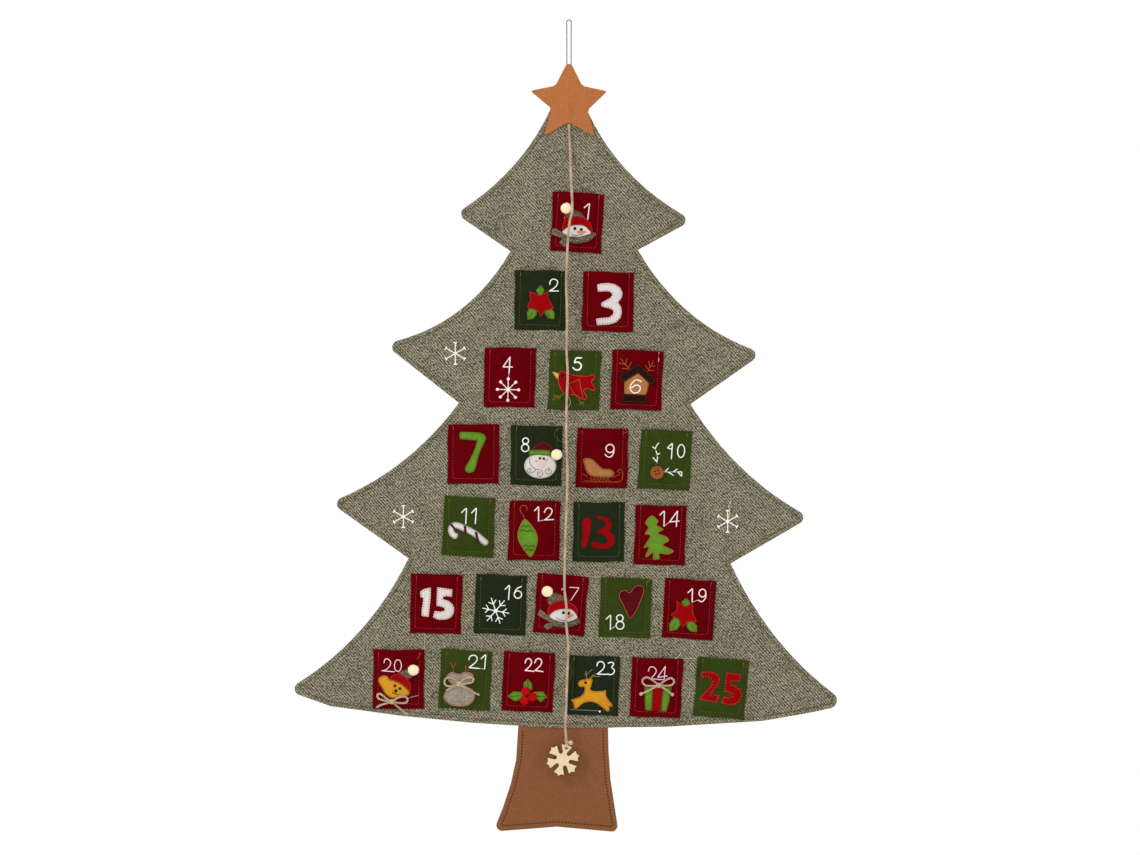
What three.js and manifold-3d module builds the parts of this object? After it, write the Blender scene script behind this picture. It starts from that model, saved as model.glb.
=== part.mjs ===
// A tree-shaped advent calendar that hangs on a wall by a cord loop. A heavy linen panel is sewn
// over an interlining and carries twenty-five felt pockets with felt figures, a felt star and a
// double felt trunk. A plywood snowflake on a long jute twine marks the day.
// Millimetres. +Z is up, +X to the right and the front faces -Y. The origin is the inside top of
// the hanging loop, in the plane between the two layers of linen.

import {
  BufferAttribute,
  BufferGeometry,
  CatmullRomCurve3,
  Curve,
  ExtrudeGeometry,
  Group,
  MathUtils,
  Matrix4,
  Mesh,
  MeshStandardMaterial,
  Path,
  QuadraticBezierCurve,
  Shape,
  SphereGeometry,
  TorusGeometry,
  Vector2,
  Vector3,
} from 'three';
import { mergeVertices } from 'three/addons/utils/BufferGeometryUtils.js';
import Module from 'manifold-3d';

const wasm = await Module();
wasm.setup();

// Tree panel
const TREE_WIDTH = 651;
const TREE_HEIGHT = 778;
const TREE_TOP_DROP = 71.6;
const APEX_RADIUS = 12;
const TIP_RADIUS = 8;
const LOW_TIP_RADIUS = 10;
const FRONT_LINEN = 1.2;
const BACK_LINEN = 0.6;
const INTERLINING_INSET = 7;

// Clearances between sewn layers, and between a figure and what it is sewn to
const LAYER_GAP = 0.2;
const PIECE_GAP = 0.3;

// Hanging loop
const LOOP_CORD = 1.5;
const LOOP_SPACING = 5.4;
const LOOP_TUCK = 20;
const LOOP_END_GAP = 1.5;

// Trunk
const TRUNK_FELT = 1;
const TRUNK_WIDTH = 142;
const TRUNK_DROP = 122;
const TRUNK_TUCK = 6;
const TRUNK_OFFSET = -14.7;
const TRUNK_CORNER_RADIUS = 7;

// Star
const STAR_RADIUS = 47;
const STAR_NOTCH_RADIUS = 24.6;
const STAR_DROP = 99.2;
const STAR_FELT = 1.5;
const STAR_TIP_RADIUS = 2.4;
const STAR_RIDGE_WIDTH = 4.6;
const STAR_RIDGE_RISE = 1.3;
const STAR_RIDGE_LENGTH = 33;

// Pockets
const POCKET_WIDTH = 60;
const POCKET_HEIGHT = 70;
const POCKET_FELT = 1;
const POCKET_SEAM = 5.5;
const POCKET_RISE = 3.5;
const POCKET_DEPTH = 4.5;

// Felt figures, pompoms, bows and the button
const FIGURE_FELT = 1;
const UPPER_FELT = 0.7;
const NUMERAL_FELT = 0.8;
const POMPOM_DIAMETER = 13;
const POMPOM_DEPTH = 7.6;
const BERRY_DIAMETER = 10.2;
const BERRY_DEPTH = 6.1;
const BOW_CORD = 1.8;
const BOW_LOOP_LENGTH = 18.6;
const BOW_LOOP_HEIGHT = 9.6;
const BOW_KNOT = 4.4;
const BUTTON_DIAMETER = 16;
const BUTTON_THICKNESS = 2.2;
const BUTTON_RIM = 1.8;
const BUTTON_RIM_RISE = 0.6;
const BUTTON_HOLE = 2;
const BUTTON_HOLE_SPACING = 3.6;

// Day marker
const TWINE_DIAMETER = 3.1;
const SNOWFLAKE_RADIUS = 20;
const SNOWFLAKE_PLY = 3;
const SNOWFLAKE_HOLE = 3.4;
const SNOWFLAKE_HOLE_REACH = 14.2;
const LINK_CORD = 1.6;
const LINK_HEIGHT = 9.6;
const LINK_DEPTH = 9.2;
const KNOT_DIAMETER = 5.4;
const KNOT_GAP = 0.4;

// The planes of the stack, from the middle of the panel toward the front
const INNER_SPACE = 2 * TRUNK_FELT + 3 * LAYER_GAP;
const FRONT_FACE = -(INNER_SPACE / 2 + FRONT_LINEN);
const POCKET_BACK = FRONT_FACE - LAYER_GAP;
const POCKET_FRONT = POCKET_BACK - POCKET_DEPTH - POCKET_FELT;
const FIGURE_BACK = POCKET_FRONT - PIECE_GAP;
const FIGURE_FRONT = FIGURE_BACK - FIGURE_FELT;
const UPPER_FRONT = FIGURE_FRONT - UPPER_FELT;

// The tree's corners, as shares of its width from the middle line and of its height from its
// top. A sag is how far the edge below it is hollowed, as a share of the width.
const rightTierShares = [
  { tip: [0.215, 0.216], sag: 0.027, notch: [0.127, 0.262] },
  { tip: [0.344, 0.423], sag: 0.024, notch: [0.224, 0.5] },
  { tip: [0.432, 0.675], sag: 0.017, notch: [0.298, 0.746] },
  { tip: [0.494, 0.959], sag: 0.018 },
];
const leftTierShares = [
  { tip: [-0.199, 0.206], sag: 0.022, notch: [-0.108, 0.264] },
  { tip: [-0.326, 0.41], sag: 0.027, notch: [-0.203, 0.498] },
  { tip: [-0.428, 0.653], sag: 0.018, notch: [-0.296, 0.738] },
  { tip: [-0.506, 0.94], sag: 0.021 },
];
const hemShares = [
  [0.44, 0.977],
  [0.356, 0.989],
  [0.177, 0.998],
  [-0.017, 1],
  [-0.175, 0.992],
  [-0.31, 0.981],
  [-0.44, 0.966],
];

// The trunk's corners, as shares of its width from its middle and of its drop below the hem
const trunkShares = [
  [0.438, 0.23],
  [0.454, 0.5],
  [0.5, 1],
  [0, 0.97],
  [-0.5, 0.99],
  [-0.451, 0.77],
  [-0.387, 0.54],
  [-0.344, 0.31],
];
const trunkTopShares = [-0.324, 0.433];

// A snowflake arm's corners, as shares of its radius and degrees from the arm's middle
const armShares = [
  { reach: 0.87, turn: 20 },
  { reach: 0.89, turn: 9 },
  { reach: 1, turn: 0 },
  { reach: 0.89, turn: -9 },
  { reach: 0.87, turn: -20 },
];
const SLOT_REACH_SHARE = 0.495;
const SLOT_RADIUS_SHARE = 0.12;
const SNOWFLAKE_ARMS = 6;
const SNOWFLAKE_TURN = 14;

// Each pocket's place as shares of the tree's width and height, its tilt in degrees and its felt
const pocketShares = [
  { day: 1, at: [0.015, 0.22], tilt: 3.3, felt: 'crimson' },
  { day: 2, at: [-0.053, 0.34], tilt: 1.5, felt: 'darkGreen' },
  { day: 3, at: [0.072, 0.342], tilt: 1.5, felt: 'crimson' },
  { day: 4, at: [-0.109, 0.459], tilt: 1.4, felt: 'crimson' },
  { day: 5, at: [0.01, 0.463], tilt: 2.4, felt: 'olive' },
  { day: 6, at: [0.125, 0.463], tilt: 2.6, felt: 'crimson' },
  { day: 7, at: [-0.176, 0.577], tilt: 0.4, felt: 'crimson' },
  { day: 8, at: [-0.06, 0.579], tilt: 0.8, felt: 'darkGreen' },
  { day: 9, at: [0.061, 0.583], tilt: 1.4, felt: 'crimson' },
  { day: 10, at: [0.177, 0.586], tilt: 3.4, felt: 'olive' },
  { day: 11, at: [-0.185, 0.689], tilt: 2.2, felt: 'olive' },
  { day: 12, at: [-0.064, 0.695], tilt: 1.5, felt: 'crimson' },
  { day: 13, at: [0.055, 0.697], tilt: 1, felt: 'darkGreen' },
  { day: 14, at: [0.168, 0.702], tilt: 2.5, felt: 'crimson' },
  { day: 15, at: [-0.245, 0.808], tilt: 1.9, felt: 'crimson' },
  { day: 16, at: [-0.126, 0.809], tilt: 1.9, felt: 'darkGreen' },
  { day: 17, at: [-0.015, 0.809], tilt: 4.2, felt: 'crimson' },
  { day: 18, at: [0.104, 0.814], tilt: 2.4, felt: 'olive' },
  { day: 19, at: [0.221, 0.816], tilt: 3.2, felt: 'crimson' },
  { day: 20, at: [-0.314, 0.924], tilt: 1.1, felt: 'crimson' },
  { day: 21, at: [-0.191, 0.925], tilt: 3.2, felt: 'olive' },
  { day: 22, at: [-0.075, 0.928], tilt: 3.1, felt: 'crimson' },
  { day: 23, at: [0.045, 0.934], tilt: 2.2, felt: 'darkGreen' },
  { day: 24, at: [0.161, 0.937], tilt: 2.9, felt: 'crimson' },
  { day: 25, at: [0.28, 0.938], tilt: 4.7, felt: 'olive' },
];

const colours = {
  linen: 0x86826c,
  linenBack: 0x9a9580,
  interlining: 0xd9d5c8,
  crimson: 0x7c0a14,
  darkGreen: 0x263021,
  olive: 0x3c5220,
  leaf: 0x5f9a2c,
  red: 0xb50f17,
  white: 0xe6e3e0,
  golden: 0xdfa12b,
  tan: 0xc08a52,
  brown: 0x3a2220,
  burgundy: 0x5a1526,
  star: 0xbf6f3a,
  trunk: 0x8a5a36,
  cord: 0x9a8f7a,
  twine: 0xcdb195,
  plywood: 0xead6a8,
  button: 0xa85a2c,
  pompom: 0xf5e6c4,
  sackLinen: 0x9c9288,
};

function material(name, roughness = 0.95) {
  return new MeshStandardMaterial({ color: colours[name], roughness, metalness: 0 });
}

function named(name, geometry, look) {
  const mesh = new Mesh(geometry, look);
  mesh.name = name;
  return mesh;
}

// Outlines are lists of points in the plane of the panel, x to the right and y up

function scaled(shares, size) {
  return shares.map(([x, y]) => new Vector2(x * size, y * size));
}

// A circle or an ellipse of a number of corners
function oval(centre, halfWidth, halfHeight, corners, turn = 0) {
  const points = [];
  for (let i = 0; i < corners; i += 1) {
    const angle = (2 * Math.PI * i) / corners;
    const point = new Vector2(halfWidth * Math.cos(angle), halfHeight * Math.sin(angle));
    points.push(point.rotateAround(new Vector2(), MathUtils.degToRad(turn)).add(centre));
  }
  return points;
}

// The outline of a band of one width along a line of points
function band(line, width) {
  const left = [];
  const right = [];
  line.forEach((point, i) => {
    const before = line[Math.max(i - 1, 0)];
    const after = line[Math.min(i + 1, line.length - 1)];
    const along = after.clone().sub(before).normalize();
    const across = new Vector2(-along.y, along.x).multiplyScalar(width / 2);
    left.push(point.clone().add(across));
    right.unshift(point.clone().sub(across));
  });
  return [...left, ...right];
}

// A closed outline through corners given clockwise. A corner with a radius is rounded with its
// outermost point kept, and an edge with a sag is hollowed by it.
function rounded(corners, arcSteps = 6, edgeSteps = 6) {
  const count = corners.length;
  const control = corners.map(({ at, sag = 0 }, i) => {
    const next = corners[(i + 1) % count].at;
    const along = next.clone().sub(at).normalize();
    const inward = new Vector2(along.y, -along.x).multiplyScalar(2 * sag);
    return at.clone().add(next).divideScalar(2).add(inward);
  });
  const ends = corners.map(({ at, radius = 0 }, i) => {
    const before = at.clone().sub(control[(i + count - 1) % count]).normalize();
    const after = control[i].clone().sub(at).normalize();
    const first = new Vector2(-before.y, before.x);
    const last = new Vector2(-after.y, after.x);
    const middle = first.clone().add(last).normalize();
    const centre = at.clone().sub(middle.multiplyScalar(radius));
    return { centre, radius, first, last };
  });
  const points = [];
  ends.forEach(({ centre, radius, first, last }, i) => {
    const start = centre.clone().add(first.clone().multiplyScalar(radius));
    const finish = centre.clone().add(last.clone().multiplyScalar(radius));
    points.push(start);
    if (radius > 0) {
      let sweep = last.angle() - first.angle();
      if (sweep > 0) sweep -= 2 * Math.PI;
      for (let step = 1; step < arcSteps; step += 1) {
        points.push(start.clone().rotateAround(centre, (sweep * step) / arcSteps));
      }
      points.push(finish);
    }
    if (corners[i].sag) {
      const next = ends[(i + 1) % count];
      const goal = next.centre.clone().add(next.first.clone().multiplyScalar(next.radius));
      const edge = new QuadraticBezierCurve(finish, control[i], goal);
      points.push(...edge.getPoints(edgeSteps).slice(1, -1));
    }
  });
  return points;
}

// The same outline moved inward by a distance, for a clockwise outline
function inset(points, distance) {
  const count = points.length;
  return points.map((point, i) => {
    const before = point.clone().sub(points[(i + count - 1) % count]).normalize();
    const after = points[(i + 1) % count].clone().sub(point).normalize();
    const first = new Vector2(before.y, -before.x);
    const last = new Vector2(after.y, -after.x);
    const reach = distance / (1 + first.dot(last));
    return point.clone().add(first.add(last).multiplyScalar(reach));
  });
}

// A flat piece cut to an outline. Its back lies at y = 0 and it is thick toward the front.
const upright = new Matrix4().set(1, 0, 0, 0, 0, 0, -1, 0, 0, 1, 0, 0, 0, 0, 0, 1);

function plate(outline, thickness, holes = []) {
  const shape = new Shape(outline);
  shape.holes = holes.map((hole) => new Path(hole));
  const geometry = new ExtrudeGeometry(shape, { depth: thickness, bevelEnabled: false });
  return geometry.applyMatrix4(upright);
}

function solid(geometry) {
  const bare = geometry.clone();
  bare.deleteAttribute('normal');
  bare.deleteAttribute('uv');
  const merged = mergeVertices(bare);
  const vertProperties = Float32Array.from(merged.attributes.position.array);
  const triVerts = Uint32Array.from(merged.index.array);
  return new wasm.Manifold(new wasm.Mesh({ numProp: 3, vertProperties, triVerts }));
}

function geometryOf(body) {
  const { vertProperties, triVerts } = body.getMesh();
  const geometry = new BufferGeometry();
  geometry.setAttribute('position', new BufferAttribute(vertProperties, 3));
  geometry.setIndex(new BufferAttribute(triVerts, 1));
  geometry.computeVertexNormals();
  return geometry;
}

function joined(geometries) {
  const [first, ...rest] = geometries.map(solid);
  return geometryOf(rest.reduce((body, next) => body.add(next), first));
}

// A tube along points that keeps its own spacing of steps
class SteppedPath extends Curve {
  constructor(points) {
    super();
    this.points = points;
  }

  getPoint(t, target = new Vector3()) {
    const place = t * (this.points.length - 1);
    const index = Math.min(Math.floor(place), this.points.length - 2);
    return target.lerpVectors(this.points[index], this.points[index + 1], place - index);
  }

  getUtoTmapping(u) {
    return u;
  }
}

function tube(path, diameter, steps, sides = 8) {
  const section = new Shape(oval(new Vector2(), diameter / 2, diameter / 2, sides));
  return new ExtrudeGeometry(section, { steps, extrudePath: path, bevelEnabled: false });
}

// Linen panel: the front, the back and the interlining between them
function treePoint([across, down]) {
  return new Vector2(across * TREE_WIDTH, -TREE_TOP_DROP - down * TREE_HEIGHT);
}

function treeOutline() {
  const corners = [{ at: treePoint([0, 0]), radius: APEX_RADIUS }];
  rightTierShares.forEach(({ tip, sag, notch }) => {
    corners.at(-1).sag = sag * TREE_WIDTH;
    corners.push({ at: treePoint(tip), radius: notch ? TIP_RADIUS : LOW_TIP_RADIUS });
    if (notch) corners.push({ at: treePoint(notch) });
  });
  hemShares.forEach((place) => corners.push({ at: treePoint(place) }));
  [...leftTierShares].reverse().forEach(({ tip, sag, notch }) => {
    if (notch) corners.push({ at: treePoint(notch) });
    corners.push({ at: treePoint(tip), radius: TIP_RADIUS, sag: sag * TREE_WIDTH });
  });
  return rounded(corners);
}

function panel() {
  const group = new Group();
  const outline = treeOutline();
  const front = named('front_panel', plate(outline, FRONT_LINEN), material('linen'));
  front.position.y = -INNER_SPACE / 2;
  const back = named('back_panel', plate(outline, BACK_LINEN), material('linenBack'));
  back.position.y = INNER_SPACE / 2 + BACK_LINEN;

  // The interlining stops below the ends of the loop's legs
  const thickness = INNER_SPACE - 2 * LAYER_GAP;
  const sheet = solid(plate(inset(outline, INTERLINING_INSET), thickness));
  const legEnd = TREE_TOP_DROP + LOOP_TUCK + LOOP_END_GAP;
  const above = [
    new Vector2(-TREE_WIDTH / 2, -legEnd),
    new Vector2(TREE_WIDTH / 2, -legEnd),
    new Vector2(TREE_WIDTH / 2, 0),
    new Vector2(-TREE_WIDTH / 2, 0),
  ];
  const cutter = solid(plate(above, 2 * thickness).translate(0, thickness / 2, 0));
  const cut = geometryOf(sheet.subtract(cutter));
  const middle = named('interlining', cut, material('interlining'));
  middle.position.y = thickness / 2;
  group.add(front, back, middle);
  return group;
}

// Hanging loop: one cord that turns over at the top, with both legs sewn in at the tree's top
function hangingLoop() {
  const half = LOOP_SPACING / 2;
  const turnHeight = LOOP_CORD / 2 - half;
  const bottom = -TREE_TOP_DROP - LOOP_TUCK;
  const turnSteps = 8;
  const legSteps = 6;
  const points = [];
  for (let i = 0; i < legSteps; i += 1) {
    points.push(new Vector3(-half, 0, MathUtils.lerp(bottom, turnHeight, i / legSteps)));
  }
  for (let i = 0; i <= turnSteps; i += 1) {
    const angle = Math.PI * (1 - i / turnSteps);
    points.push(new Vector3(half * Math.cos(angle), 0, turnHeight + half * Math.sin(angle)));
  }
  for (let i = 1; i <= legSteps; i += 1) {
    points.push(new Vector3(half, 0, MathUtils.lerp(turnHeight, bottom, i / legSteps)));
  }
  const path = new SteppedPath(points);
  return named('hanging_loop', tube(path, LOOP_CORD, points.length - 1), material('cord'));
}

// Trunk: two felts sewn together round the edge, tucked in between the linen layers at the hem
function trunk() {
  const hem = -TREE_TOP_DROP - TREE_HEIGHT;
  const low = trunkShares.map(([across, down]) => ({
    at: new Vector2(TRUNK_OFFSET + across * TRUNK_WIDTH, hem - down * TRUNK_DROP),
    radius: Math.abs(across) === 0.5 ? TRUNK_CORNER_RADIUS : 0,
  }));
  const top = trunkTopShares.map((across) => ({
    at: new Vector2(TRUNK_OFFSET + across * TRUNK_WIDTH, hem + TRUNK_TUCK),
  }));
  const outline = rounded([...top, ...low]);
  const felt = plate(outline, TRUNK_FELT);
  const front = named('trunk_front', felt, material('trunk'));
  front.position.y = -LAYER_GAP / 2;
  const back = named('trunk_back', felt.clone(), material('trunk'));
  back.position.y = LAYER_GAP / 2 + TRUNK_FELT;
  return new Group().add(front, back);
}

// Star: one felt with a ridge where the marker's twine runs under it
function star() {
  const corners = [];
  const points = 5;
  for (let i = 0; i < 2 * points; i += 1) {
    const tip = i % 2 === 0;
    const angle = (Math.PI * i) / points;
    const reach = tip ? STAR_RADIUS : STAR_NOTCH_RADIUS;
    corners.push({
      at: new Vector2(reach * Math.sin(angle), reach * Math.cos(angle)),
      radius: tip ? STAR_TIP_RADIUS : 0,
    });
  }
  const felt = plate(rounded(corners, 4), STAR_FELT);

  // Half of a ridge's section lies within the felt, so that the two join
  const section = new Shape(oval(new Vector2(), STAR_RIDGE_WIDTH / 2, STAR_RIDGE_RISE, 10));
  const settings = { depth: STAR_RIDGE_LENGTH, bevelEnabled: false };
  const ridge = new ExtrudeGeometry(section, settings);
  ridge.translate(0, -STAR_FELT, -STAR_NOTCH_RADIUS);
  const piece = named('star', joined([felt, ridge]), material('star'));
  piece.position.set(0, FRONT_FACE - PIECE_GAP, -STAR_DROP);
  return piece;
}

// Pocket: one felt, sewn flat round its sides and foot and puffed between the seams. Its
// surface is a grid of stations, raised where the pocket stands off the panel.
function pocketFelt() {
  const half = POCKET_WIDTH / 2;
  const inner = half - POCKET_SEAM;
  const across = [-half, -inner, -inner + POCKET_RISE, inner - POCKET_RISE, inner, half];
  const foot = -POCKET_HEIGHT / 2;
  const up = [foot, foot + POCKET_SEAM, foot + POCKET_SEAM + POCKET_RISE, POCKET_HEIGHT / 2];
  const columns = across.length;
  const rows = up.length;
  const positions = [];
  [0, POCKET_FELT].forEach((thickness) => {
    up.forEach((z, row) => {
      across.forEach((x, column) => {
        const raised = row > 1 && column > 1 && column < columns - 2;
        positions.push(x, -(thickness + (raised ? POCKET_DEPTH : 0)), z);
      });
    });
  });
  const index = [];
  const layer = columns * rows;
  const at = (row, column, side) => side * layer + row * columns + column;
  const quad = (a, b, c, d) => index.push(a, b, c, a, c, d);
  for (let row = 0; row < rows - 1; row += 1) {
    for (let column = 0; column < columns - 1; column += 1) {
      const cell = [
        [row, column],
        [row, column + 1],
        [row + 1, column + 1],
        [row + 1, column],
      ];
      const front = cell.map(([r, c]) => at(r, c, 1));
      const back = cell.map(([r, c]) => at(r, c, 0));
      quad(...front);
      index.push(back[0], back[2], back[1], back[0], back[3], back[2]);
    }
  }
  for (let column = 0; column < columns - 1; column += 1) {
    quad(at(0, column, 0), at(0, column + 1, 0), at(0, column + 1, 1), at(0, column, 1));
    const top = rows - 1;
    quad(at(top, column + 1, 0), at(top, column, 0), at(top, column, 1), at(top, column + 1, 1));
  }
  for (let row = 0; row < rows - 1; row += 1) {
    const right = columns - 1;
    quad(at(row + 1, 0, 0), at(row, 0, 0), at(row, 0, 1), at(row + 1, 0, 1));
    quad(at(row, right, 0), at(row + 1, right, 0), at(row + 1, right, 1), at(row, right, 1));
  }
  const geometry = new BufferGeometry();
  geometry.setAttribute('position', new BufferAttribute(Float32Array.from(positions), 3));
  geometry.setIndex(index);
  geometry.computeVertexNormals();
  return geometry;
}

// Felt numerals and figures. Their outlines are shares of the pocket's width from its middle. A
// layer is a cut outline, a band along a line or an oval, and an upper one is a second felt on
// the first.
const numeralShares = {
  3: [
    { band: 0.15, line: [[-0.22, 0.29], [-0.05, 0.3], [0.11, 0.27], [0.2, 0.17], [0.16, 0.04]] },
    { band: 0.14, line: [[0.18, 0.08], [0.08, -0.01], [-0.12, -0.05]] },
    { band: 0.15, line: [[0.04, -0.03], [0.17, -0.12], [0.2, -0.23], [0.13, -0.35]] },
    { band: 0.15, line: [[0.17, -0.31], [0.1, -0.37], [-0.01, -0.4], [-0.22, -0.41]] },
  ],
  7: [
    { band: 0.15, line: [[-0.27, 0.37], [0.2, 0.35]] },
    { band: 0.17, line: [[0.17, 0.4], [0.14, 0.28], [-0.05, -0.29], [-0.06, -0.35]] },
  ],
  13: [
    { band: 0.14, line: [[-0.27, 0.26], [-0.24, 0.13], [-0.27, -0.15], [-0.29, -0.32]] },
    { band: 0.09, line: [[-0.06, 0.29], [0.1, 0.28], [0.2, 0.17], [0.18, 0.07]] },
    { band: 0.09, line: [[0.2, 0.1], [0.08, 0.01], [-0.04, -0.02]] },
    { band: 0.11, line: [[0.08, 0.02], [0.2, -0.06], [0.25, -0.15], [0.2, -0.25]] },
    { band: 0.11, line: [[0.23, -0.2], [0.17, -0.27], [0.04, -0.29], [-0.13, -0.24]] },
  ],
  15: [
    {
      cut: [[-0.23, 0.3], [-0.11, 0.31], [-0.11, 0.12], [-0.13, -0.25], [-0.27, -0.23],
        [-0.24, 0.1], [-0.31, 0.13], [-0.31, 0.22]],
    },
    {
      cut: [[0.03, 0.33], [0.32, 0.3], [0.31, 0.15], [0.15, 0.16], [0.14, 0.1], [0.3, 0.04],
        [0.36, -0.09], [0.33, -0.22], [0.18, -0.29], [0.01, -0.3], [-0.01, -0.15], [0.09, -0.16],
        [0.17, -0.11], [0.11, -0.04], [0.01, -0.01]],
    },
  ],
  25: [
    {
      cut: [[-0.43, 0.27], [-0.26, 0.31], [-0.1, 0.27], [-0.05, 0.18], [-0.1, 0.05],
        [-0.21, -0.1], [-0.05, -0.13], [-0.05, -0.28], [-0.4, -0.26], [-0.41, -0.22],
        [-0.22, 0.06], [-0.19, 0.15], [-0.25, 0.2], [-0.42, 0.2]],
    },
    {
      cut: [[0.06, 0.31], [0.37, 0.31], [0.36, 0.17], [0.19, 0.16], [0.18, 0.12], [0.35, 0.05],
        [0.41, -0.07], [0.39, -0.21], [0.27, -0.3], [0.02, -0.3], [0.04, -0.16], [0.13, -0.18],
        [0.23, -0.12], [0.16, -0.05], [0.06, -0.05]],
    },
  ],
};

const figureShares = {
  1: {
    name: 'snowman',
    colour: 'red',
    layers: [
      { oval: [0.01, -0.19], size: [0.27, 0.115] },
      {
        upper: true,
        cut: [[-0.29, -0.18], [-0.29, -0.06], [-0.24, 0.09], [-0.2, 0.16], [-0.09, 0.22],
          [0.03, 0.21], [0.15, 0.1], [0.27, -0.01], [0.32, -0.13], [0.31, -0.23], [0.24, -0.14],
          [0.14, -0.07], [-0.02, -0.05], [-0.16, -0.1]],
      },
      {
        upper: true,
        cut: [[0.05, -0.3], [0.24, -0.24], [0.36, -0.18], [0.38, -0.24], [0.26, -0.36],
          [0.06, -0.42], [-0.1, -0.41], [-0.17, -0.38], [-0.22, -0.51], [-0.34, -0.42],
          [-0.28, -0.34], [-0.5, -0.26], [-0.47, -0.15], [-0.42, -0.15], [-0.28, -0.22],
          [-0.12, -0.28]],
      },
    ],
    pompom: [-0.235, 0.26],
  },
  2: {
    name: 'poinsettia',
    colour: 'red',
    layers: [
      { cut: [[0, 0.3], [0.08, 0.2], [0.04, 0.02], [-0.05, 0.02], [-0.09, 0.19]] },
      { cut: [[-0.22, -0.16], [-0.04, -0.18], [-0.12, -0.37], [-0.24, -0.4], [-0.26, -0.27]] },
      { cut: [[0.08, -0.18], [0.27, -0.19], [0.3, -0.26], [0.29, -0.37], [0.18, -0.36]] },
      {
        upper: true,
        cut: [[-0.23, 0.18], [0, 0.1], [0.15, 0.2], [0.17, 0.04], [0.29, -0.16], [0.1, -0.22],
          [0.03, -0.34], [-0.05, -0.22], [-0.27, -0.15], [-0.2, 0]],
      },
    ],
  },
  5: {
    name: 'bird',
    colour: 'red',
    layers: [
      {
        cut: [[-0.3, 0.18], [-0.2, 0.16], [0.04, 0.1], [0.26, 0.1], [0.37, 0.15], [0.43, 0.07],
          [0.35, -0.02], [0.45, -0.16], [0.38, -0.22], [0.28, -0.16], [0.2, -0.2], [0.28, -0.32],
          [0.25, -0.41], [0.16, -0.38], [0.01, -0.3], [-0.13, -0.31], [-0.25, -0.23],
          [-0.33, -0.06], [-0.33, 0.01], [-0.45, 0.15], [-0.33, 0.12]],
      },
      {
        upper: true,
        cut: [[-0.09, -0.08], [0.1, 0.03], [0.2, -0.2], [0.25, -0.38], [0.16, -0.36]],
      },
    ],
  },
  6: {
    name: 'birdhouse',
    colour: 'brown',
    layers: [
      { cut: [[-0.24, -0.05], [0.02, 0.2], [0.25, -0.03], [0.19, -0.32], [-0.23, -0.32]] },
      {
        upper: true,
        cut: [[0.02, 0.32], [0.38, 0.02], [0.29, -0.07], [0.02, 0.13], [-0.25, -0.06],
          [-0.38, 0.05]],
      },
      { upper: true, cut: [[-0.27, -0.3], [0.2, -0.29], [0.19, -0.44], [-0.26, -0.44]] },
    ],
  },
  8: {
    name: 'gnome',
    colour: 'white',
    layers: [
      { oval: [0.08, -0.21], size: [0.32, 0.25] },
      { cut: [[-0.11, -0.02], [-0.02, 0.21], [0.12, 0.27], [0.26, 0.22], [0.33, -0.02]] },
      { upper: true, cut: [[-0.16, 0.1], [0.03, 0.12], [0.27, 0.1], [0.3, 0], [-0.14, -0.01]] },
      { upper: true, oval: [0.11, -0.17], size: [0.08, 0.08] },
    ],
    pompom: [0.405, 0.02],
  },
  9: {
    name: 'sleigh',
    colour: 'tan',
    layers: [
      {
        cut: [[-0.38, -0.05], [-0.33, -0.01], [-0.2, -0.03], [-0.08, -0.13], [0.02, -0.21],
          [0.17, -0.22], [0.25, -0.29], [0.21, -0.37], [0.08, -0.39], [-0.2, -0.37],
          [-0.31, -0.27], [-0.36, -0.12]],
      },
    ],
  },
  11: {
    name: 'candy_cane',
    colour: 'white',
    layers: [
      {
        band: 0.11,
        line: [[-0.27, -0.19], [-0.34, -0.11], [-0.35, -0.02], [-0.27, 0.03], [-0.14, 0],
          [0.13, -0.13], [0.36, -0.31]],
      },
    ],
  },
  12: {
    name: 'bauble',
    colour: 'leaf',
    layers: [
      {
        cut: [[-0.2, 0.23], [-0.03, 0.08], [0.07, -0.1], [0.06, -0.3], [-0.05, -0.53],
          [-0.2, -0.39], [-0.32, -0.18], [-0.32, 0]],
      },
    ],
  },
  14: {
    name: 'fir_tree',
    colour: 'leaf',
    layers: [
      {
        cut: [[-0.19, 0.39], [-0.05, 0.28], [-0.08, 0.2], [0.06, 0.12], [-0.04, 0.04],
          [0.12, -0.02], [0.18, -0.1], [0.07, -0.19], [0.26, -0.28], [0.27, -0.33],
          [0.16, -0.38], [0, -0.37], [0.01, -0.47], [-0.12, -0.49], [-0.13, -0.36],
          [-0.24, -0.45], [-0.28, -0.42], [-0.22, -0.25], [-0.32, -0.26], [-0.2, -0.02],
          [-0.31, 0.01], [-0.25, 0.14], [-0.31, 0.24]],
      },
    ],
  },
  17: {
    name: 'snowman',
    colour: 'red',
    layers: [
      { oval: [0.08, -0.21], size: [0.28, 0.13] },
      {
        upper: true,
        cut: [[-0.25, -0.22], [-0.28, 0.13], [-0.15, 0.22], [-0.05, 0.21], [0.09, 0.12],
          [0.24, 0.04], [0.34, -0.06], [0.35, -0.21], [0.22, -0.09], [0.05, -0.08],
          [-0.11, -0.13]],
      },
      {
        upper: true,
        cut: [[0.04, -0.34], [0.2, -0.32], [0.35, -0.25], [0.4, -0.29], [0.39, -0.35],
          [0.21, -0.43], [0.05, -0.45], [-0.14, -0.43], [-0.23, -0.53], [-0.32, -0.45],
          [-0.23, -0.37], [-0.45, -0.24], [-0.41, -0.12], [-0.2, -0.25], [-0.14, -0.31]],
      },
    ],
    pompom: [-0.29, 0.25],
  },
  18: {
    name: 'heart',
    colour: 'burgundy',
    layers: [
      {
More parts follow.
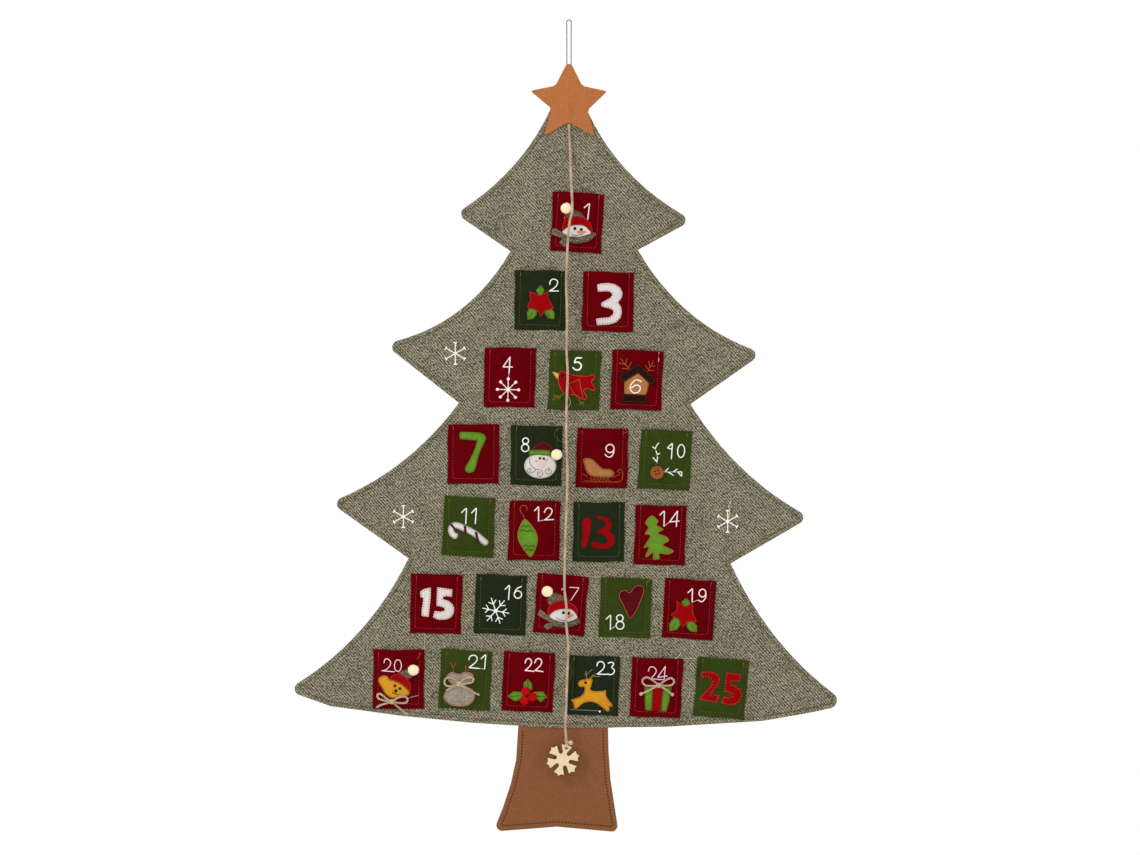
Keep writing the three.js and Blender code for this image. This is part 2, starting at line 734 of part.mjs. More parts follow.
        cut: [[0.11, -0.21], [-0.05, 0.03], [-0.14, 0.19], [-0.15, 0.27], [-0.1, 0.35],
          [0, 0.37], [0.07, 0.32], [0.15, 0.44], [0.24, 0.48], [0.35, 0.44], [0.36, 0.32],
          [0.31, 0.16], [0.22, -0.06]],
      },
    ],
  },
  19: {
    name: 'poinsettia',
    colour: 'red',
    layers: [
      { cut: [[-0.07, 0.22], [0.01, 0.15], [-0.02, 0], [-0.1, 0], [-0.16, 0.14]] },
      {
        cut: [[-0.28, -0.17], [-0.12, -0.2], [-0.18, -0.34], [-0.23, -0.43], [-0.36, -0.46],
          [-0.38, -0.32]],
      },
      {
        cut: [[-0.04, -0.22], [0.09, -0.24], [0.18, -0.33], [0.18, -0.45], [0.05, -0.44],
          [-0.03, -0.35]],
      },
      {
        upper: true,
        cut: [[-0.27, 0.17], [-0.08, 0.06], [0.08, 0.14], [0.08, -0.03], [0.18, -0.25],
          [-0.01, -0.25], [-0.11, -0.39], [-0.19, -0.22], [-0.38, -0.14], [-0.25, -0.03]],
      },
    ],
  },
  20: {
    name: 'teddy',
    colour: 'golden',
    layers: [
      {
        cut: [[-0.4, -0.05], [-0.38, 0.03], [-0.29, 0.07], [-0.21, 0.05], [-0.1, 0.04],
          [0.07, 0], [0.23, -0.24], [0.16, -0.34], [0.03, -0.36], [-0.12, -0.38],
          [-0.25, -0.3], [-0.31, -0.2]],
      },
      {
        upper: true,
        cut: [[-0.18, 0.02], [-0.08, 0.1], [0.03, 0.14], [0.16, 0.19], [0.25, 0.11],
          [0.2, 0.02], [0.26, -0.15], [0.24, -0.23], [0.07, -0.09], [-0.06, -0.03]],
      },
    ],
    pompom: [0.3, 0.2],
    bow: {
      on: FIGURE_FRONT,
      knot: [-0.13, -0.43],
      turns: [159, 14],
      tails: [[-0.41, -0.54], [0.19, -0.56]],
    },
  },
  21: {
    name: 'sack',
    colour: 'sackLinen',
    layers: [
      {
        cut: [[-0.4, -0.29], [-0.34, -0.2], [-0.24, -0.12], [-0.33, -0.05], [-0.37, 0.06],
          [-0.29, 0.14], [-0.11, 0.12], [-0.03, 0.16], [0.11, 0.15], [0.17, 0.08],
          [0.13, -0.03], [0.02, -0.11], [0.14, -0.17], [0.21, -0.27], [0.19, -0.4],
          [0.08, -0.51], [-0.1, -0.54], [-0.29, -0.51], [-0.41, -0.4]],
      },
    ],
    bow: {
      on: FIGURE_FRONT,
      knot: [-0.12, -0.08],
      turns: [174, 21],
      tails: [[-0.33, -0.21], [0.28, -0.26]],
    },
  },
  23: {
    name: 'reindeer',
    colour: 'golden',
    layers: [
      {
        cut: [[-0.31, 0.04], [-0.26, 0.1], [-0.16, 0.13], [-0.03, 0.14], [-0.04, 0.02],
          [-0.06, -0.06], [0, -0.1], [0.21, -0.09], [0.25, -0.07], [0.26, -0.18],
          [0.32, -0.28], [0.39, -0.36], [0.38, -0.41], [0.33, -0.4], [0.34, -0.47],
          [0.3, -0.51], [0.21, -0.44], [0.08, -0.35], [-0.06, -0.32], [-0.2, -0.36],
          [-0.31, -0.47], [-0.37, -0.46], [-0.37, -0.38], [-0.43, -0.3], [-0.27, -0.23],
          [-0.19, -0.15], [-0.18, -0.03], [-0.27, -0.03]],
      },
    ],
  },
  24: {
    name: 'gift',
    colour: 'leaf',
    layers: [
      { cut: [[-0.24, 0.02], [0.3, 0.03], [0.22, -0.47], [-0.2, -0.46]] },
      { upper: true, cut: [[-0.07, -0.01], [0.13, 0], [0.11, -0.46], [-0.07, -0.47]] },
    ],
    bow: {
      on: UPPER_FRONT,
      knot: [0.04, 0.05],
      turns: [161, 25],
      tails: [[-0.29, -0.12], [0.31, -0.1]],
    },
  },
};

// The holly's leaves and the middles of its three felt berries
const hollyShares = {
  leaves: [
    [[-0.01, 0.06], [0.07, -0.02], [0.07, -0.2], [-0.07, -0.2], [-0.09, -0.02]],
    [[-0.4, -0.31], [-0.29, -0.21], [-0.05, -0.2], [0, -0.33], [-0.24, -0.4]],
    [[0.39, -0.28], [0.31, -0.18], [0.06, -0.2], [0.06, -0.32], [0.27, -0.39]],
  ],
  berries: [[-0.03, -0.19], [-0.04, -0.36], [0.12, -0.29]],
};

function layerOutline({ cut, band: width, line, oval: centre, size }) {
  if (cut) return scaled(cut, POCKET_WIDTH);
  if (line) return band(scaled(line, POCKET_WIDTH), width * POCKET_WIDTH);
  const [halfWidth, halfHeight] = size.map((share) => share * POCKET_WIDTH);
  return oval(scaled([centre], POCKET_WIDTH)[0], halfWidth, halfHeight, 16);
}

function layered(layers) {
  const plates = layers.map((layer) => {
    const thickness = layer.upper ? FIGURE_FELT + UPPER_FELT : FIGURE_FELT;
    return plate(layerOutline(layer), thickness);
  });
  return joined(plates);
}

// A ball pressed flat, with its back at y = 0
function ball(share, diameter, depth) {
  const [centre] = scaled([share], POCKET_WIDTH);
  const geometry = new SphereGeometry(1, 10, 8);
  geometry.scale(diameter / 2, depth / 2, diameter / 2);
  return geometry.translate(centre.x, -depth / 2, centre.y);
}

// Three leaves with their berries sewn through the middle
function holly() {
  const leaves = layered(hollyShares.leaves.map((cut) => ({ cut })));
  const berries = hollyShares.berries.map((share) => {
    return ball(share, BERRY_DIAMETER, BERRY_DEPTH).translate(0, -FIGURE_FELT / 2, 0);
  });
  return joined([leaves, ...berries]);
}

// A bow of cord laid flat: two loops that start at the knot, two tails and the knot itself
function bow({ knot, turns, tails }) {
  const [middle] = scaled([knot], POCKET_WIDTH);
  const half = BOW_LOOP_LENGTH / 2;
  const rise = BOW_LOOP_HEIGHT / 2;
  const parts = turns.map((turn) => {
    const reach = new Vector2(half - BOW_CORD / 2, 0);
    const centre = reach.rotateAround(new Vector2(), MathUtils.degToRad(turn)).add(middle);
    const outer = oval(centre, half, rise, 14, turn);
    const inner = oval(centre, half - BOW_CORD, rise - BOW_CORD, 14, turn);
    return plate(outer, BOW_CORD, [inner]);
  });
  scaled(tails, POCKET_WIDTH).forEach((end) => {
    parts.push(plate(band([middle, end], BOW_CORD), BOW_CORD));
  });
  parts.push(plate(oval(middle, BOW_KNOT / 2, BOW_KNOT / 2, 10), 1.2 * BOW_CORD));
  return joined(parts);
}

// A four-hole button with a raised rim
const buttonShare = [-0.15, -0.26];

function button() {
  const [centre] = scaled([buttonShare], POCKET_WIDTH);
  const radius = BUTTON_DIAMETER / 2;
  const holes = [];
  for (let i = 0; i < 4; i += 1) {
    const reach = new Vector2(BUTTON_HOLE_SPACING / Math.SQRT2, 0);
    const middle = reach.rotateAround(new Vector2(), (Math.PI * i) / 2).add(centre);
    holes.push(oval(middle, BUTTON_HOLE / 2, BUTTON_HOLE / 2, 8));
  }
  const disc = plate(oval(centre, radius, radius, 24), BUTTON_THICKNESS, holes);
  const inner = oval(centre, radius - BUTTON_RIM, radius - BUTTON_RIM, 24);
  const height = BUTTON_THICKNESS + BUTTON_RIM_RISE;
  const rim = plate(oval(centre, radius, radius, 24), height, [inner]);
  return joined([disc, rim]);
}

// One pocket with what is sewn on it, in the pocket's own tilted frame
function pocket({ day, at, tilt, felt }) {
  const group = new Group();
  const place = treePoint(at);
  group.position.set(place.x, 0, place.y);
  group.rotation.y = MathUtils.degToRad(tilt);
  const add = (name, geometry, colour, y, roughness) => {
    const mesh = named(name, geometry, material(colour, roughness));
    mesh.position.y = y;
    group.add(mesh);
  };

  const sheet = pocketFelt();
  const numeral = numeralShares[day];
  if (numeral) {
    const sunk = POCKET_FELT / 2;
    const plates = numeral.map((layer) => {
      const cut = plate(layerOutline(layer), sunk + NUMERAL_FELT);
      return cut.translate(0, sunk - POCKET_DEPTH - POCKET_FELT, 0);
    });
    add(`pocket_${day}`, joined([sheet, ...plates]), felt, POCKET_BACK);
  } else {
    add(`pocket_${day}`, sheet, felt, POCKET_BACK);
  }

  const figure = figureShares[day];
  if (figure) {
    add(`${figure.name}_${day}`, layered(figure.layers), figure.colour, FIGURE_BACK);
    if (figure.pompom) {
      const shape = ball(figure.pompom, POMPOM_DIAMETER, POMPOM_DEPTH);
      add(`pompom_${day}`, shape, 'pompom', FIGURE_BACK);
    }
    if (figure.bow) {
      add(`bow_${day}`, bow(figure.bow), 'twine', figure.bow.on - PIECE_GAP);
    }
  }
  if (day === 10) add('button_10', button(), 'button', FIGURE_BACK, 0.4);
  if (day === 22) add('holly_22', holly(), 'leaf', FIGURE_BACK);
  return group;
}

// Day marker: a jute twine that leaves the star's lowest notch and hangs in front of the
// pockets, the knot on its end, and a plywood snowflake on the knot's link
const TWINE_ROUTE = [
  [-0.2, -4.4, -125],
  [1, -6, -149.6],
  [2, -8.8, -179.6],
  [3.4, -13.2, -208.4],
  [3.9, -15.6, -222.2],
  [3.4, -16, -232],
  [0.8, -15.6, -243.2],
  [-1.4, -14.6, -266],
  [-2.4, -14, -287.6],
  [-3.4, -13.6, -315.2],
  [-2.3, -13.4, -354.8],
  [-2.9, -13.2, -395.6],
  [-1.6, -13.2, -424.4],
  [-2.9, -13.2, -461.6],
  [-3.2, -13.2, -502.4],
  [-1.8, -13.2, -545.6],
  [-3.2, -13.2, -590],
  [-4.7, -13.2, -633.2],
  [-5.4, -13.2, -678.8],
  [-3.2, -13.2, -702.8],
  [-3.3, -13.2, -723.2],
  [-1.2, -13.2, -749.6],
  [-2.2, -13.2, -788],
  [-3.6, -13.2, -826.4],
  [-4.4, -13.2, -845.6],
  [-3.4, -13.2, -861.2],
];

function snowflakeOutline() {
  const points = [];
  const slotTurn = 180 / SNOWFLAKE_ARMS;
  for (let arm = 0; arm < SNOWFLAKE_ARMS; arm += 1) {
    const middle = SNOWFLAKE_TURN - arm * 2 * slotTurn;
    armShares.forEach(({ reach, turn }) => {
      const angle = MathUtils.degToRad(middle + turn);
      const point = new Vector2(Math.cos(angle), Math.sin(angle));
      points.push(point.multiplyScalar(reach * SNOWFLAKE_RADIUS));
    });
    const slot = new Vector2(SLOT_REACH_SHARE * SNOWFLAKE_RADIUS, 0);
    slot.rotateAround(new Vector2(), MathUtils.degToRad(middle - slotTurn));
    const steps = 6;
    for (let i = 0; i <= steps; i += 1) {
      const angle = MathUtils.degToRad(middle - slotTurn + 90 + (180 * i) / steps);
      const point = new Vector2(Math.cos(angle), Math.sin(angle));
      points.push(point.multiplyScalar(SLOT_RADIUS_SHARE * SNOWFLAKE_RADIUS).add(slot));
    }
  }
  return points;
}

function marker() {
  const group = new Group();
  const route = TWINE_ROUTE.map((point) => new Vector3(...point));
  const path = new CatmullRomCurve3(route);
  group.add(named('marker_twine', tube(path, TWINE_DIAMETER, 80), material('twine')));

  // The link runs through the snowflake's hole, up behind its arm and down before it
  const end = route.at(-1);
  const link = new TorusGeometry(LINK_HEIGHT / 2, LINK_CORD / 2, 6, 16);
  link.rotateY(Math.PI / 2).scale(1, LINK_DEPTH / LINK_HEIGHT, 1);
  const linkTop = end.z - KNOT_GAP - LINK_CORD / 2;
  const linkMiddle = linkTop - LINK_HEIGHT / 2;
  link.translate(end.x, end.y, linkMiddle);
  const bead = new SphereGeometry(KNOT_DIAMETER / 2, 10, 8);
  const beadFront = end.y - SNOWFLAKE_PLY / 2 - KNOT_GAP - KNOT_DIAMETER / 2;
  bead.translate(end.x + KNOT_DIAMETER, beadFront, linkTop - KNOT_DIAMETER / 2);
  const tail = new Shape(oval(new Vector2(), LINK_CORD / 2, LINK_CORD / 2, 6));
  const stub = new ExtrudeGeometry(tail, { depth: KNOT_DIAMETER, bevelEnabled: false });
  stub.rotateY(Math.PI / 2).translate(end.x, beadFront, linkTop - KNOT_DIAMETER / 2);
  group.add(named('marker_knot', joined([link, bead, stub]), material('twine')));

  const flake = new Group();
  const holeTurn = MathUtils.degToRad(SNOWFLAKE_TURN + 360 / SNOWFLAKE_ARMS);
  const hole = new Vector2(Math.cos(holeTurn), Math.sin(holeTurn));
  hole.multiplyScalar(SNOWFLAKE_HOLE_REACH);
  const bore = oval(hole, SNOWFLAKE_HOLE / 2, SNOWFLAKE_HOLE / 2, 12);
  const cut = plate(snowflakeOutline(), SNOWFLAKE_PLY, [bore]);
  const ply = named('marker_snowflake', cut, material('plywood', 0.7));
  const holeHeight = linkTop - LINK_HEIGHT;
  flake.position.set(end.x - hole.x, end.y + SNOWFLAKE_PLY / 2, holeHeight - hole.y);
  flake.add(ply);
  group.add(flake);
  return group;
}

const calendar = new Group();
calendar.add(panel(), hangingLoop(), trunk(), star());
pocketShares.forEach((entry) => calendar.add(pocket(entry)));
calendar.add(marker());

export default calendar;
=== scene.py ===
"""The looks of a tree-shaped linen advent calendar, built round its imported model.

Lengths are written in millimetres and turned to Blender's metres where a mesh is made. The frame is
the model's: +X to the right, +Z up, the front faces -Y, and the origin is the top of the hanging
loop. An outline is a list of (x, z) points in the plane of the hanging.
"""
import math
import random

import bpy
import numpy as np
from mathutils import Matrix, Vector, noise
from mathutils.geometry import delaunay_2d_cdt


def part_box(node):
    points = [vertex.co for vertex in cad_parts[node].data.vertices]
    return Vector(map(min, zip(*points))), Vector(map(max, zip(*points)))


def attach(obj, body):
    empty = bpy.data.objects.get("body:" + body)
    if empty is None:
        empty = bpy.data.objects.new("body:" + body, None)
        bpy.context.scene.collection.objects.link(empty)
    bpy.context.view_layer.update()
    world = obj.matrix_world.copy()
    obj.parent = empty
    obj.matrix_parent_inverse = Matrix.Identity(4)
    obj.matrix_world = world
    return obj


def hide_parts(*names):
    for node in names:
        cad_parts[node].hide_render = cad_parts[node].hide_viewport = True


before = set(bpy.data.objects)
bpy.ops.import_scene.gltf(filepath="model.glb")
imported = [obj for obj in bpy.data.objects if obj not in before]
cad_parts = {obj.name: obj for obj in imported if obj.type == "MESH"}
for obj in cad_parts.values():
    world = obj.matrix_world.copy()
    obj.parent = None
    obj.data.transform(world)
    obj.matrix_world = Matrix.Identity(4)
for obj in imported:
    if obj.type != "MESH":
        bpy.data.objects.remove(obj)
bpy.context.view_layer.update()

# Studio. A white room with soft light from the upper left, as for a catalogue picture. The camera
# stands level with the middle of the hanging, far enough away to flatten it. The floor lies under
# the hanging and ends behind it, so that the picture's own frame holds only the white room.
MM = 0.001
PHOTO_SIZE = (1140, 855)
PHOTO_MM_PER_PIXEL = 1.2
PHOTO_ORIGIN = (569, 20.3)
PANEL_FRONT = -2.5
LENS = 85
SENSOR = 36

middle_x = (PHOTO_SIZE[0] / 2 - PHOTO_ORIGIN[0]) * PHOTO_MM_PER_PIXEL
middle_z = (PHOTO_ORIGIN[1] - PHOTO_SIZE[1] / 2) * PHOTO_MM_PER_PIXEL
distance = PHOTO_SIZE[0] * PHOTO_MM_PER_PIXEL * LENS / SENSOR
camera_data = bpy.data.cameras.new("camera")
camera_data.lens = LENS
camera_data.sensor_width = SENSOR
camera = bpy.data.objects.new("camera", camera_data)
camera.location = Vector((middle_x, PANEL_FRONT - distance, middle_z)) * MM
camera.rotation_euler = (math.pi / 2, 0, 0)
bpy.context.scene.collection.objects.link(camera)
bpy.context.scene.camera = camera
bpy.context.scene.view_settings.view_transform = "Standard"


def linear(code):
    """An sRGB hex colour as the linear colour that a shader takes."""
    channels = [((code >> shift) & 255) / 255 for shift in (16, 8, 0)]
    return [c / 12.92 if c <= 0.04045 else ((c + 0.055) / 1.055) ** 2.4 for c in channels] + [1]


def add(tree, kind, inputs=None, **settings):
    """Adds a node. Each input takes a value or another node's output."""
    new = tree.nodes.new("ShaderNode" + kind)
    for name, value in settings.items():
        setattr(new, name, value)
    for name, value in (inputs or {}).items():
        if isinstance(value, bpy.types.NodeSocket):
            tree.links.new(value, new.inputs[name])
        else:
            new.inputs[name].default_value = value
    return new


def blank_material(name):
    """A new material, its empty node tree, and the place on the object that its patterns use."""
    material = bpy.data.materials.new(name)
    material.use_nodes = True
    tree = material.node_tree
    tree.nodes.clear()
    return material, tree, add(tree, "TexCoord").outputs["Object"]


# Pale painted plaster: flat and matt, with a faint cloudiness from the roller
FLOOR_DROP = 1062
FLOOR_FRONT = 1500
FLOOR_BEHIND = 330
FLOOR_HALF_WIDTH = 1500
ROLLER_CLOUD = 180

floor_material, tree, place = blank_material("painted_plaster")
cloud = add(tree, "TexNoise", {"Vector": place, "Scale": 1 / (ROLLER_CLOUD * MM)})
colour = add(tree, "Mix", {0: cloud.outputs[0], 6: linear(0xE9E7E3), 7: linear(0xF2F0EC)},
             data_type="RGBA")
surface = add(tree, "BsdfPrincipled", {"Base Color": colour.outputs[2], "Roughness": 0.9})
add(tree, "OutputMaterial", {"Surface": surface.outputs[0]})

floor_mesh = bpy.data.meshes.new("floor")
corners = [(-FLOOR_HALF_WIDTH, -FLOOR_FRONT), (FLOOR_HALF_WIDTH, -FLOOR_FRONT),
           (FLOOR_HALF_WIDTH, FLOOR_BEHIND), (-FLOOR_HALF_WIDTH, FLOOR_BEHIND)]
floor_mesh.from_pydata([(x * MM, y * MM, -FLOOR_DROP * MM) for x, y in corners], [], [(0, 1, 2, 3)])
floor_mesh.materials.append(floor_material)
floor = bpy.data.objects.new("floor", floor_mesh)
bpy.context.scene.collection.objects.link(floor)

# The room shows white to the camera and in gloss, and lights the hanging with an even soft light
ROOM_LIGHT = 0.62
HANGING_MIDDLE = (0, 0, -500)

world = bpy.data.worlds.new("white_room")
bpy.context.scene.world = world
world.use_nodes = True
tree = world.node_tree
tree.nodes.clear()
rays = add(tree, "LightPath").outputs
seen = add(tree, "Math", {0: rays["Is Camera Ray"], 1: rays["Is Glossy Ray"]}, operation="MAXIMUM")
seen = add(tree, "Math", {0: seen.outputs[0], 1: rays["Is Transmission Ray"]}, operation="MAXIMUM")
light = add(tree, "Background", {"Color": (1, 1, 1, 1), "Strength": ROOM_LIGHT})
white = add(tree, "Background", {"Color": (1, 1, 1, 1), "Strength": 1})
room = add(tree, "MixShader", {0: seen.outputs[0], 1: light.outputs[0], 2: white.outputs[0]})
add(tree, "OutputWorld", {"Surface": room.outputs[0]})


def softbox(name, place, size, watts):
    """A square lamp that points at the middle of the hanging."""
    lamp = bpy.data.lights.new(name, "AREA")
    lamp.size = size * MM
    lamp.energy = watts
    box = bpy.data.objects.new(name, lamp)
    box.location = Vector(place) * MM
    aim = Vector(HANGING_MIDDLE) * MM - box.location
    box.rotation_euler = aim.to_track_quat("-Z", "Y").to_euler()
    bpy.context.scene.collection.objects.link(box)


softbox("key", (-2200, -2000, 1500), 900, watts=34)
softbox("fill", (2600, -2600, -200), 1800, watts=12)
softbox("back", (800, 2800, 1200), 1800, watts=22)

# Day marker, the twine. Three plies of jute laid together, limp and hairy, 3 mm thick. It is sewn
# in under the star and hangs in front of the pockets with the wooden snowflake's weight on it.
TWINE_DIAMETER = 3.1
TWINE_PLIES = 3
TWINE_LAY = 11
TWINE_ROUTE = [
    (-0.2, -4.4, -125), (1, -6, -149.6), (2, -8.8, -179.6), (3.4, -13.2, -208.4),
    (3.9, -15.6, -222.2), (3.4, -16, -232), (0.8, -15.6, -243.2), (-1.4, -14.6, -266),
    (-2.4, -14, -287.6), (-3.4, -13.6, -315.2), (-2.3, -13.4, -354.8), (-2.9, -13.2, -395.6),
    (-1.6, -13.2, -424.4), (-2.9, -13.2, -461.6), (-3.2, -13.2, -502.4), (-1.8, -13.2, -545.6),
    (-3.2, -13.2, -590), (-4.7, -13.2, -633.2), (-5.4, -13.2, -678.8), (-3.2, -13.2, -702.8),
    (-3.3, -13.2, -723.2), (-1.2, -13.2, -749.6), (-2.2, -13.2, -788), (-3.6, -13.2, -826.4),
    (-4.4, -13.2, -845.6), (-3.4, -13.2, -861.2),
]


def smooth_line(points, steps=8, closed=False):
    """A smooth line through the points, with a number of steps between each two."""
    points = np.asarray(points, float)
    count = len(points)
    spans = count if closed else count - 1
    line = []
    for i in range(spans):
        if closed:
            a, b, c, d = (points[(i + k) % count] for k in (-1, 0, 1, 2))
        else:
            b, c = points[i], points[i + 1]
            a = points[i - 1] if i else 2 * b - c
            d = points[i + 2] if i + 2 < count else 2 * c - b
        for step in range(steps):
            t = step / steps
            line.append(0.5 * (2 * b + (c - a) * t + (2 * a - 5 * b + 4 * c - d) * t**2
                               + (3 * b - a - 3 * c + d) * t**3))
    if not closed:
        line.append(points[-1])
    return np.array(line)


def evenly(line, step, closed=False):
    """The same line with its points an even step apart."""
    line = np.asarray(line, float)
    if closed:
        line = np.vstack([line, line[:1]])
    lengths = np.linalg.norm(np.diff(line, axis=0), axis=1)
    along = np.concatenate([[0], np.cumsum(lengths)])
    count = max(2, round(along[-1] / step) + 1)
    places = np.linspace(0, along[-1], count)
    if closed:
        places = places[:-1]
    return np.column_stack([np.interp(places, along, line[:, k]) for k in range(line.shape[1])])


def across(line):
    """Two directions square to a line at each of its points, carried along without a twist."""
    ahead = np.gradient(line, axis=0)
    ahead /= np.linalg.norm(ahead, axis=1, keepdims=True)
    side = np.cross(ahead[0], (0, 1, 0) if abs(ahead[0][1]) < 0.9 else (1, 0, 0))
    sides = []
    for direction in ahead:
        side = side - direction * side.dot(direction)
        side /= np.linalg.norm(side)
        sides.append(side)
    sides = np.array(sides)
    return sides, np.cross(ahead, sides)


def tube(line, radius, sides=6):
    """The points and faces of a closed tube. The radius may change along the line."""
    line = np.asarray(line, float)
    first, second = across(line)
    radius = np.broadcast_to(np.asarray(radius, float), len(line))
    angles = np.linspace(0, 2 * math.pi, sides, endpoint=False)
    ring = (np.cos(angles)[None, :, None] * first[:, None] + np.sin(angles)[None, :, None]
            * second[:, None])
    points = (line[:, None] + ring * radius[:, None, None]).reshape(-1, 3)
    faces = []
    for i in range(len(line) - 1):
        for k in range(sides):
            a, b = i * sides + k, i * sides + (k + 1) % sides
            faces.append((a, b, b + sides, a + sides))
    faces.append(tuple(range(sides))[::-1])
    faces.append(tuple(range((len(line) - 1) * sides, len(line) * sides)))
    return points, faces


def gathered(parts):
    """Several (points, faces) as one."""
    points, faces, start = [], [], 0
    for part_points, part_faces in parts:
        points.append(part_points)
        faces.extend(tuple(i + start for i in face) for face in part_faces)
        start += len(part_points)
    return np.vstack(points), faces


def piece(name, shape, material, slot, body="calendar", replaces=(), sharp=50):
    """A piece of the object from points in millimetres and faces."""
    points, faces = shape
    mesh = bpy.data.meshes.new(name)
    mesh.from_pydata([tuple(p) for p in np.asarray(points) * MM], [], faces)
    mesh.update()
    mesh.shade_smooth()
    mesh.set_sharp_from_angle(angle=math.radians(sharp))
    mesh.materials.append(material)
    new = bpy.data.objects.new(name, mesh)
    bpy.context.scene.collection.objects.link(new)
    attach(new, body)
    if replaces:
        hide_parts(*replaces)
    return new


def laid_plies(line, diameter, plies, lay):
    """Plies twisted round a line, as a laid twine or thread is made."""
    line = evenly(line, lay / 12)
    first, second = across(line)
    turns = np.arange(len(line)) / 12 * 2 * math.pi
    parts = []
    for ply in range(plies):
        angle = turns + 2 * math.pi * ply / plies
        reach = 0.27 * diameter
        offset = (np.cos(angle)[:, None] * first + np.sin(angle)[:, None] * second) * reach
        parts.append(tube(line + offset, 0.25 * diameter, 6))
    return parts


def loose_hairs(line, reach, count, seed, length=3):
    """Fine fibres that stand off a line of yarn."""
    draw = random.Random(seed)
    parts = []
    for _ in range(count):
        start = np.array(line[draw.randrange(len(line))])
        angle = draw.uniform(0, 2 * math.pi)
        out = np.array([math.cos(angle), math.sin(angle) * 0.7, draw.uniform(-0.5, 0.3)])
        bend = np.array([draw.uniform(-0.4, 0.4), 0, draw.uniform(-0.9, 0.3)])
        size = length * draw.uniform(0.4, 1)
        middle = start + out * (reach * 0.8 + size * 0.3)
        end = middle + (out * 0.35 + bend * 0.5) * size * 0.5
        parts.append(tube(np.array([start + out * reach * 0.5, middle, end]), [0.07, 0.06, 0.03], 3))
    return parts


def jute(name, pale, dark):
    """Jute: dry bast fibre, matt, each strand streaked lengthwise in paler and darker straw."""
    material, tree, place = blank_material(name)
    streak = add(tree, "TexNoise", {"Vector": place, "Scale": 1 / (1.1 * MM), "Detail": 5})
    patch = add(tree, "TexNoise", {"Vector": place, "Scale": 1 / (14 * MM), "Detail": 2})
    both = add(tree, "Math", {0: streak.outputs[0], 1: patch.outputs[0]}, operation="ADD")
    share = add(tree, "MapRange", {0: both.outputs[0], 1: 0.75, 2: 1.3})
    colour = add(tree, "Mix", {0: share.outputs[0], 6: linear(dark), 7: linear(pale)},
                 data_type="RGBA")
    bump = add(tree, "Bump", {"Height": streak.outputs[0], "Strength": 0.5, "Distance": 0.4 * MM})
    surface = add(tree, "BsdfPrincipled", {
        "Base Color": colour.outputs[2], "Roughness": 0.85, "Specular IOR Level": 0.25,
        "Sheen Weight": 0.2, "Sheen Roughness": 0.5, "Normal": bump.outputs[0]})
    add(tree, "OutputMaterial", {"Surface": surface.outputs[0]})
    return material


jute_twine = jute("jute_twine", 0xF4DABC, 0xB8987A)
twine_line = evenly(smooth_line(TWINE_ROUTE), 1.5)
twine_parts = laid_plies(twine_line, TWINE_DIAMETER, TWINE_PLIES, TWINE_LAY)
twine_parts += loose_hairs(twine_line, TWINE_DIAMETER / 2, count=420, seed=11, length=1.9)
twine = piece("marker_twine_jute", gathered(twine_parts), jute_twine, "twine", "marker",
              ["marker_twine"])

# Day marker, the knot. The twine's end goes once through the snowflake's hole, is tied off above
# it in a tight wrap, and ends in a fat overhand knot that stands out to the right.
LINK_CORD = 1.6
LINK_HEIGHT = 9.6
LINK_DEPTH = 9.2
BEAD = 5.4
WRAP_CORD = 0.62
WRAP_PITCH = 1.1
SNOWFLAKE_PLY = 3

end_x, end_y, end_z = TWINE_ROUTE[-1]
link_top = end_z - 1.2
link_middle = link_top - LINK_HEIGHT / 2
angles = np.linspace(0, 2 * math.pi, 41)[:-1]
link = np.column_stack([
    np.full(40, end_x), end_y + LINK_DEPTH / 2 * np.sin(angles),
    link_middle + LINK_HEIGHT / 2 * np.cos(angles)])


def closed_tube(line, radius, sides=6):
    """The points and faces of a tube that runs into itself."""
    line = np.asarray(line, float)
    first, second = across(np.vstack([line, line[:1]]))
    first, second = first[:-1], second[:-1]
    angles = np.linspace(0, 2 * math.pi, sides, endpoint=False)
    points = np.concatenate([line + radius * (math.cos(a) * first + math.sin(a) * second)
                             for a in angles])
    count = len(line)
    faces = []
    for k in range(sides):
        for i in range(count):
            a, b = k * count + i, k * count + (i + 1) % count
            c, d = (k + 1) % sides * count + (i + 1) % count, (k + 1) % sides * count + i
            faces.append((a, b, c, d))
    return points, faces


def wrapped_ball(centre, radius, cord, turns=4, bands=3):
    """A knot: cord wound over itself into a ball, in a few crossing bands of turns."""
    parts = []
    wound = radius - cord * 0.9
    for band in range(bands):
        tilt = math.pi * band / bands
        for turn in range(turns):
            lean = (turn - (turns - 1) / 2) * 0.42
            reach, z = wound * math.cos(lean), wound * math.sin(lean)
            ring = []
            for angle in np.linspace(0, 2 * math.pi, 25)[:-1]:
                x, y = reach * math.cos(angle), reach * math.sin(angle)
                ring.append((centre[0] + x,
                             centre[1] + y * math.cos(tilt) - z * math.sin(tilt),
                             centre[2] + y * math.sin(tilt) + z * math.cos(tilt)))
            parts.append(closed_tube(ring, cord, 6))
    return parts


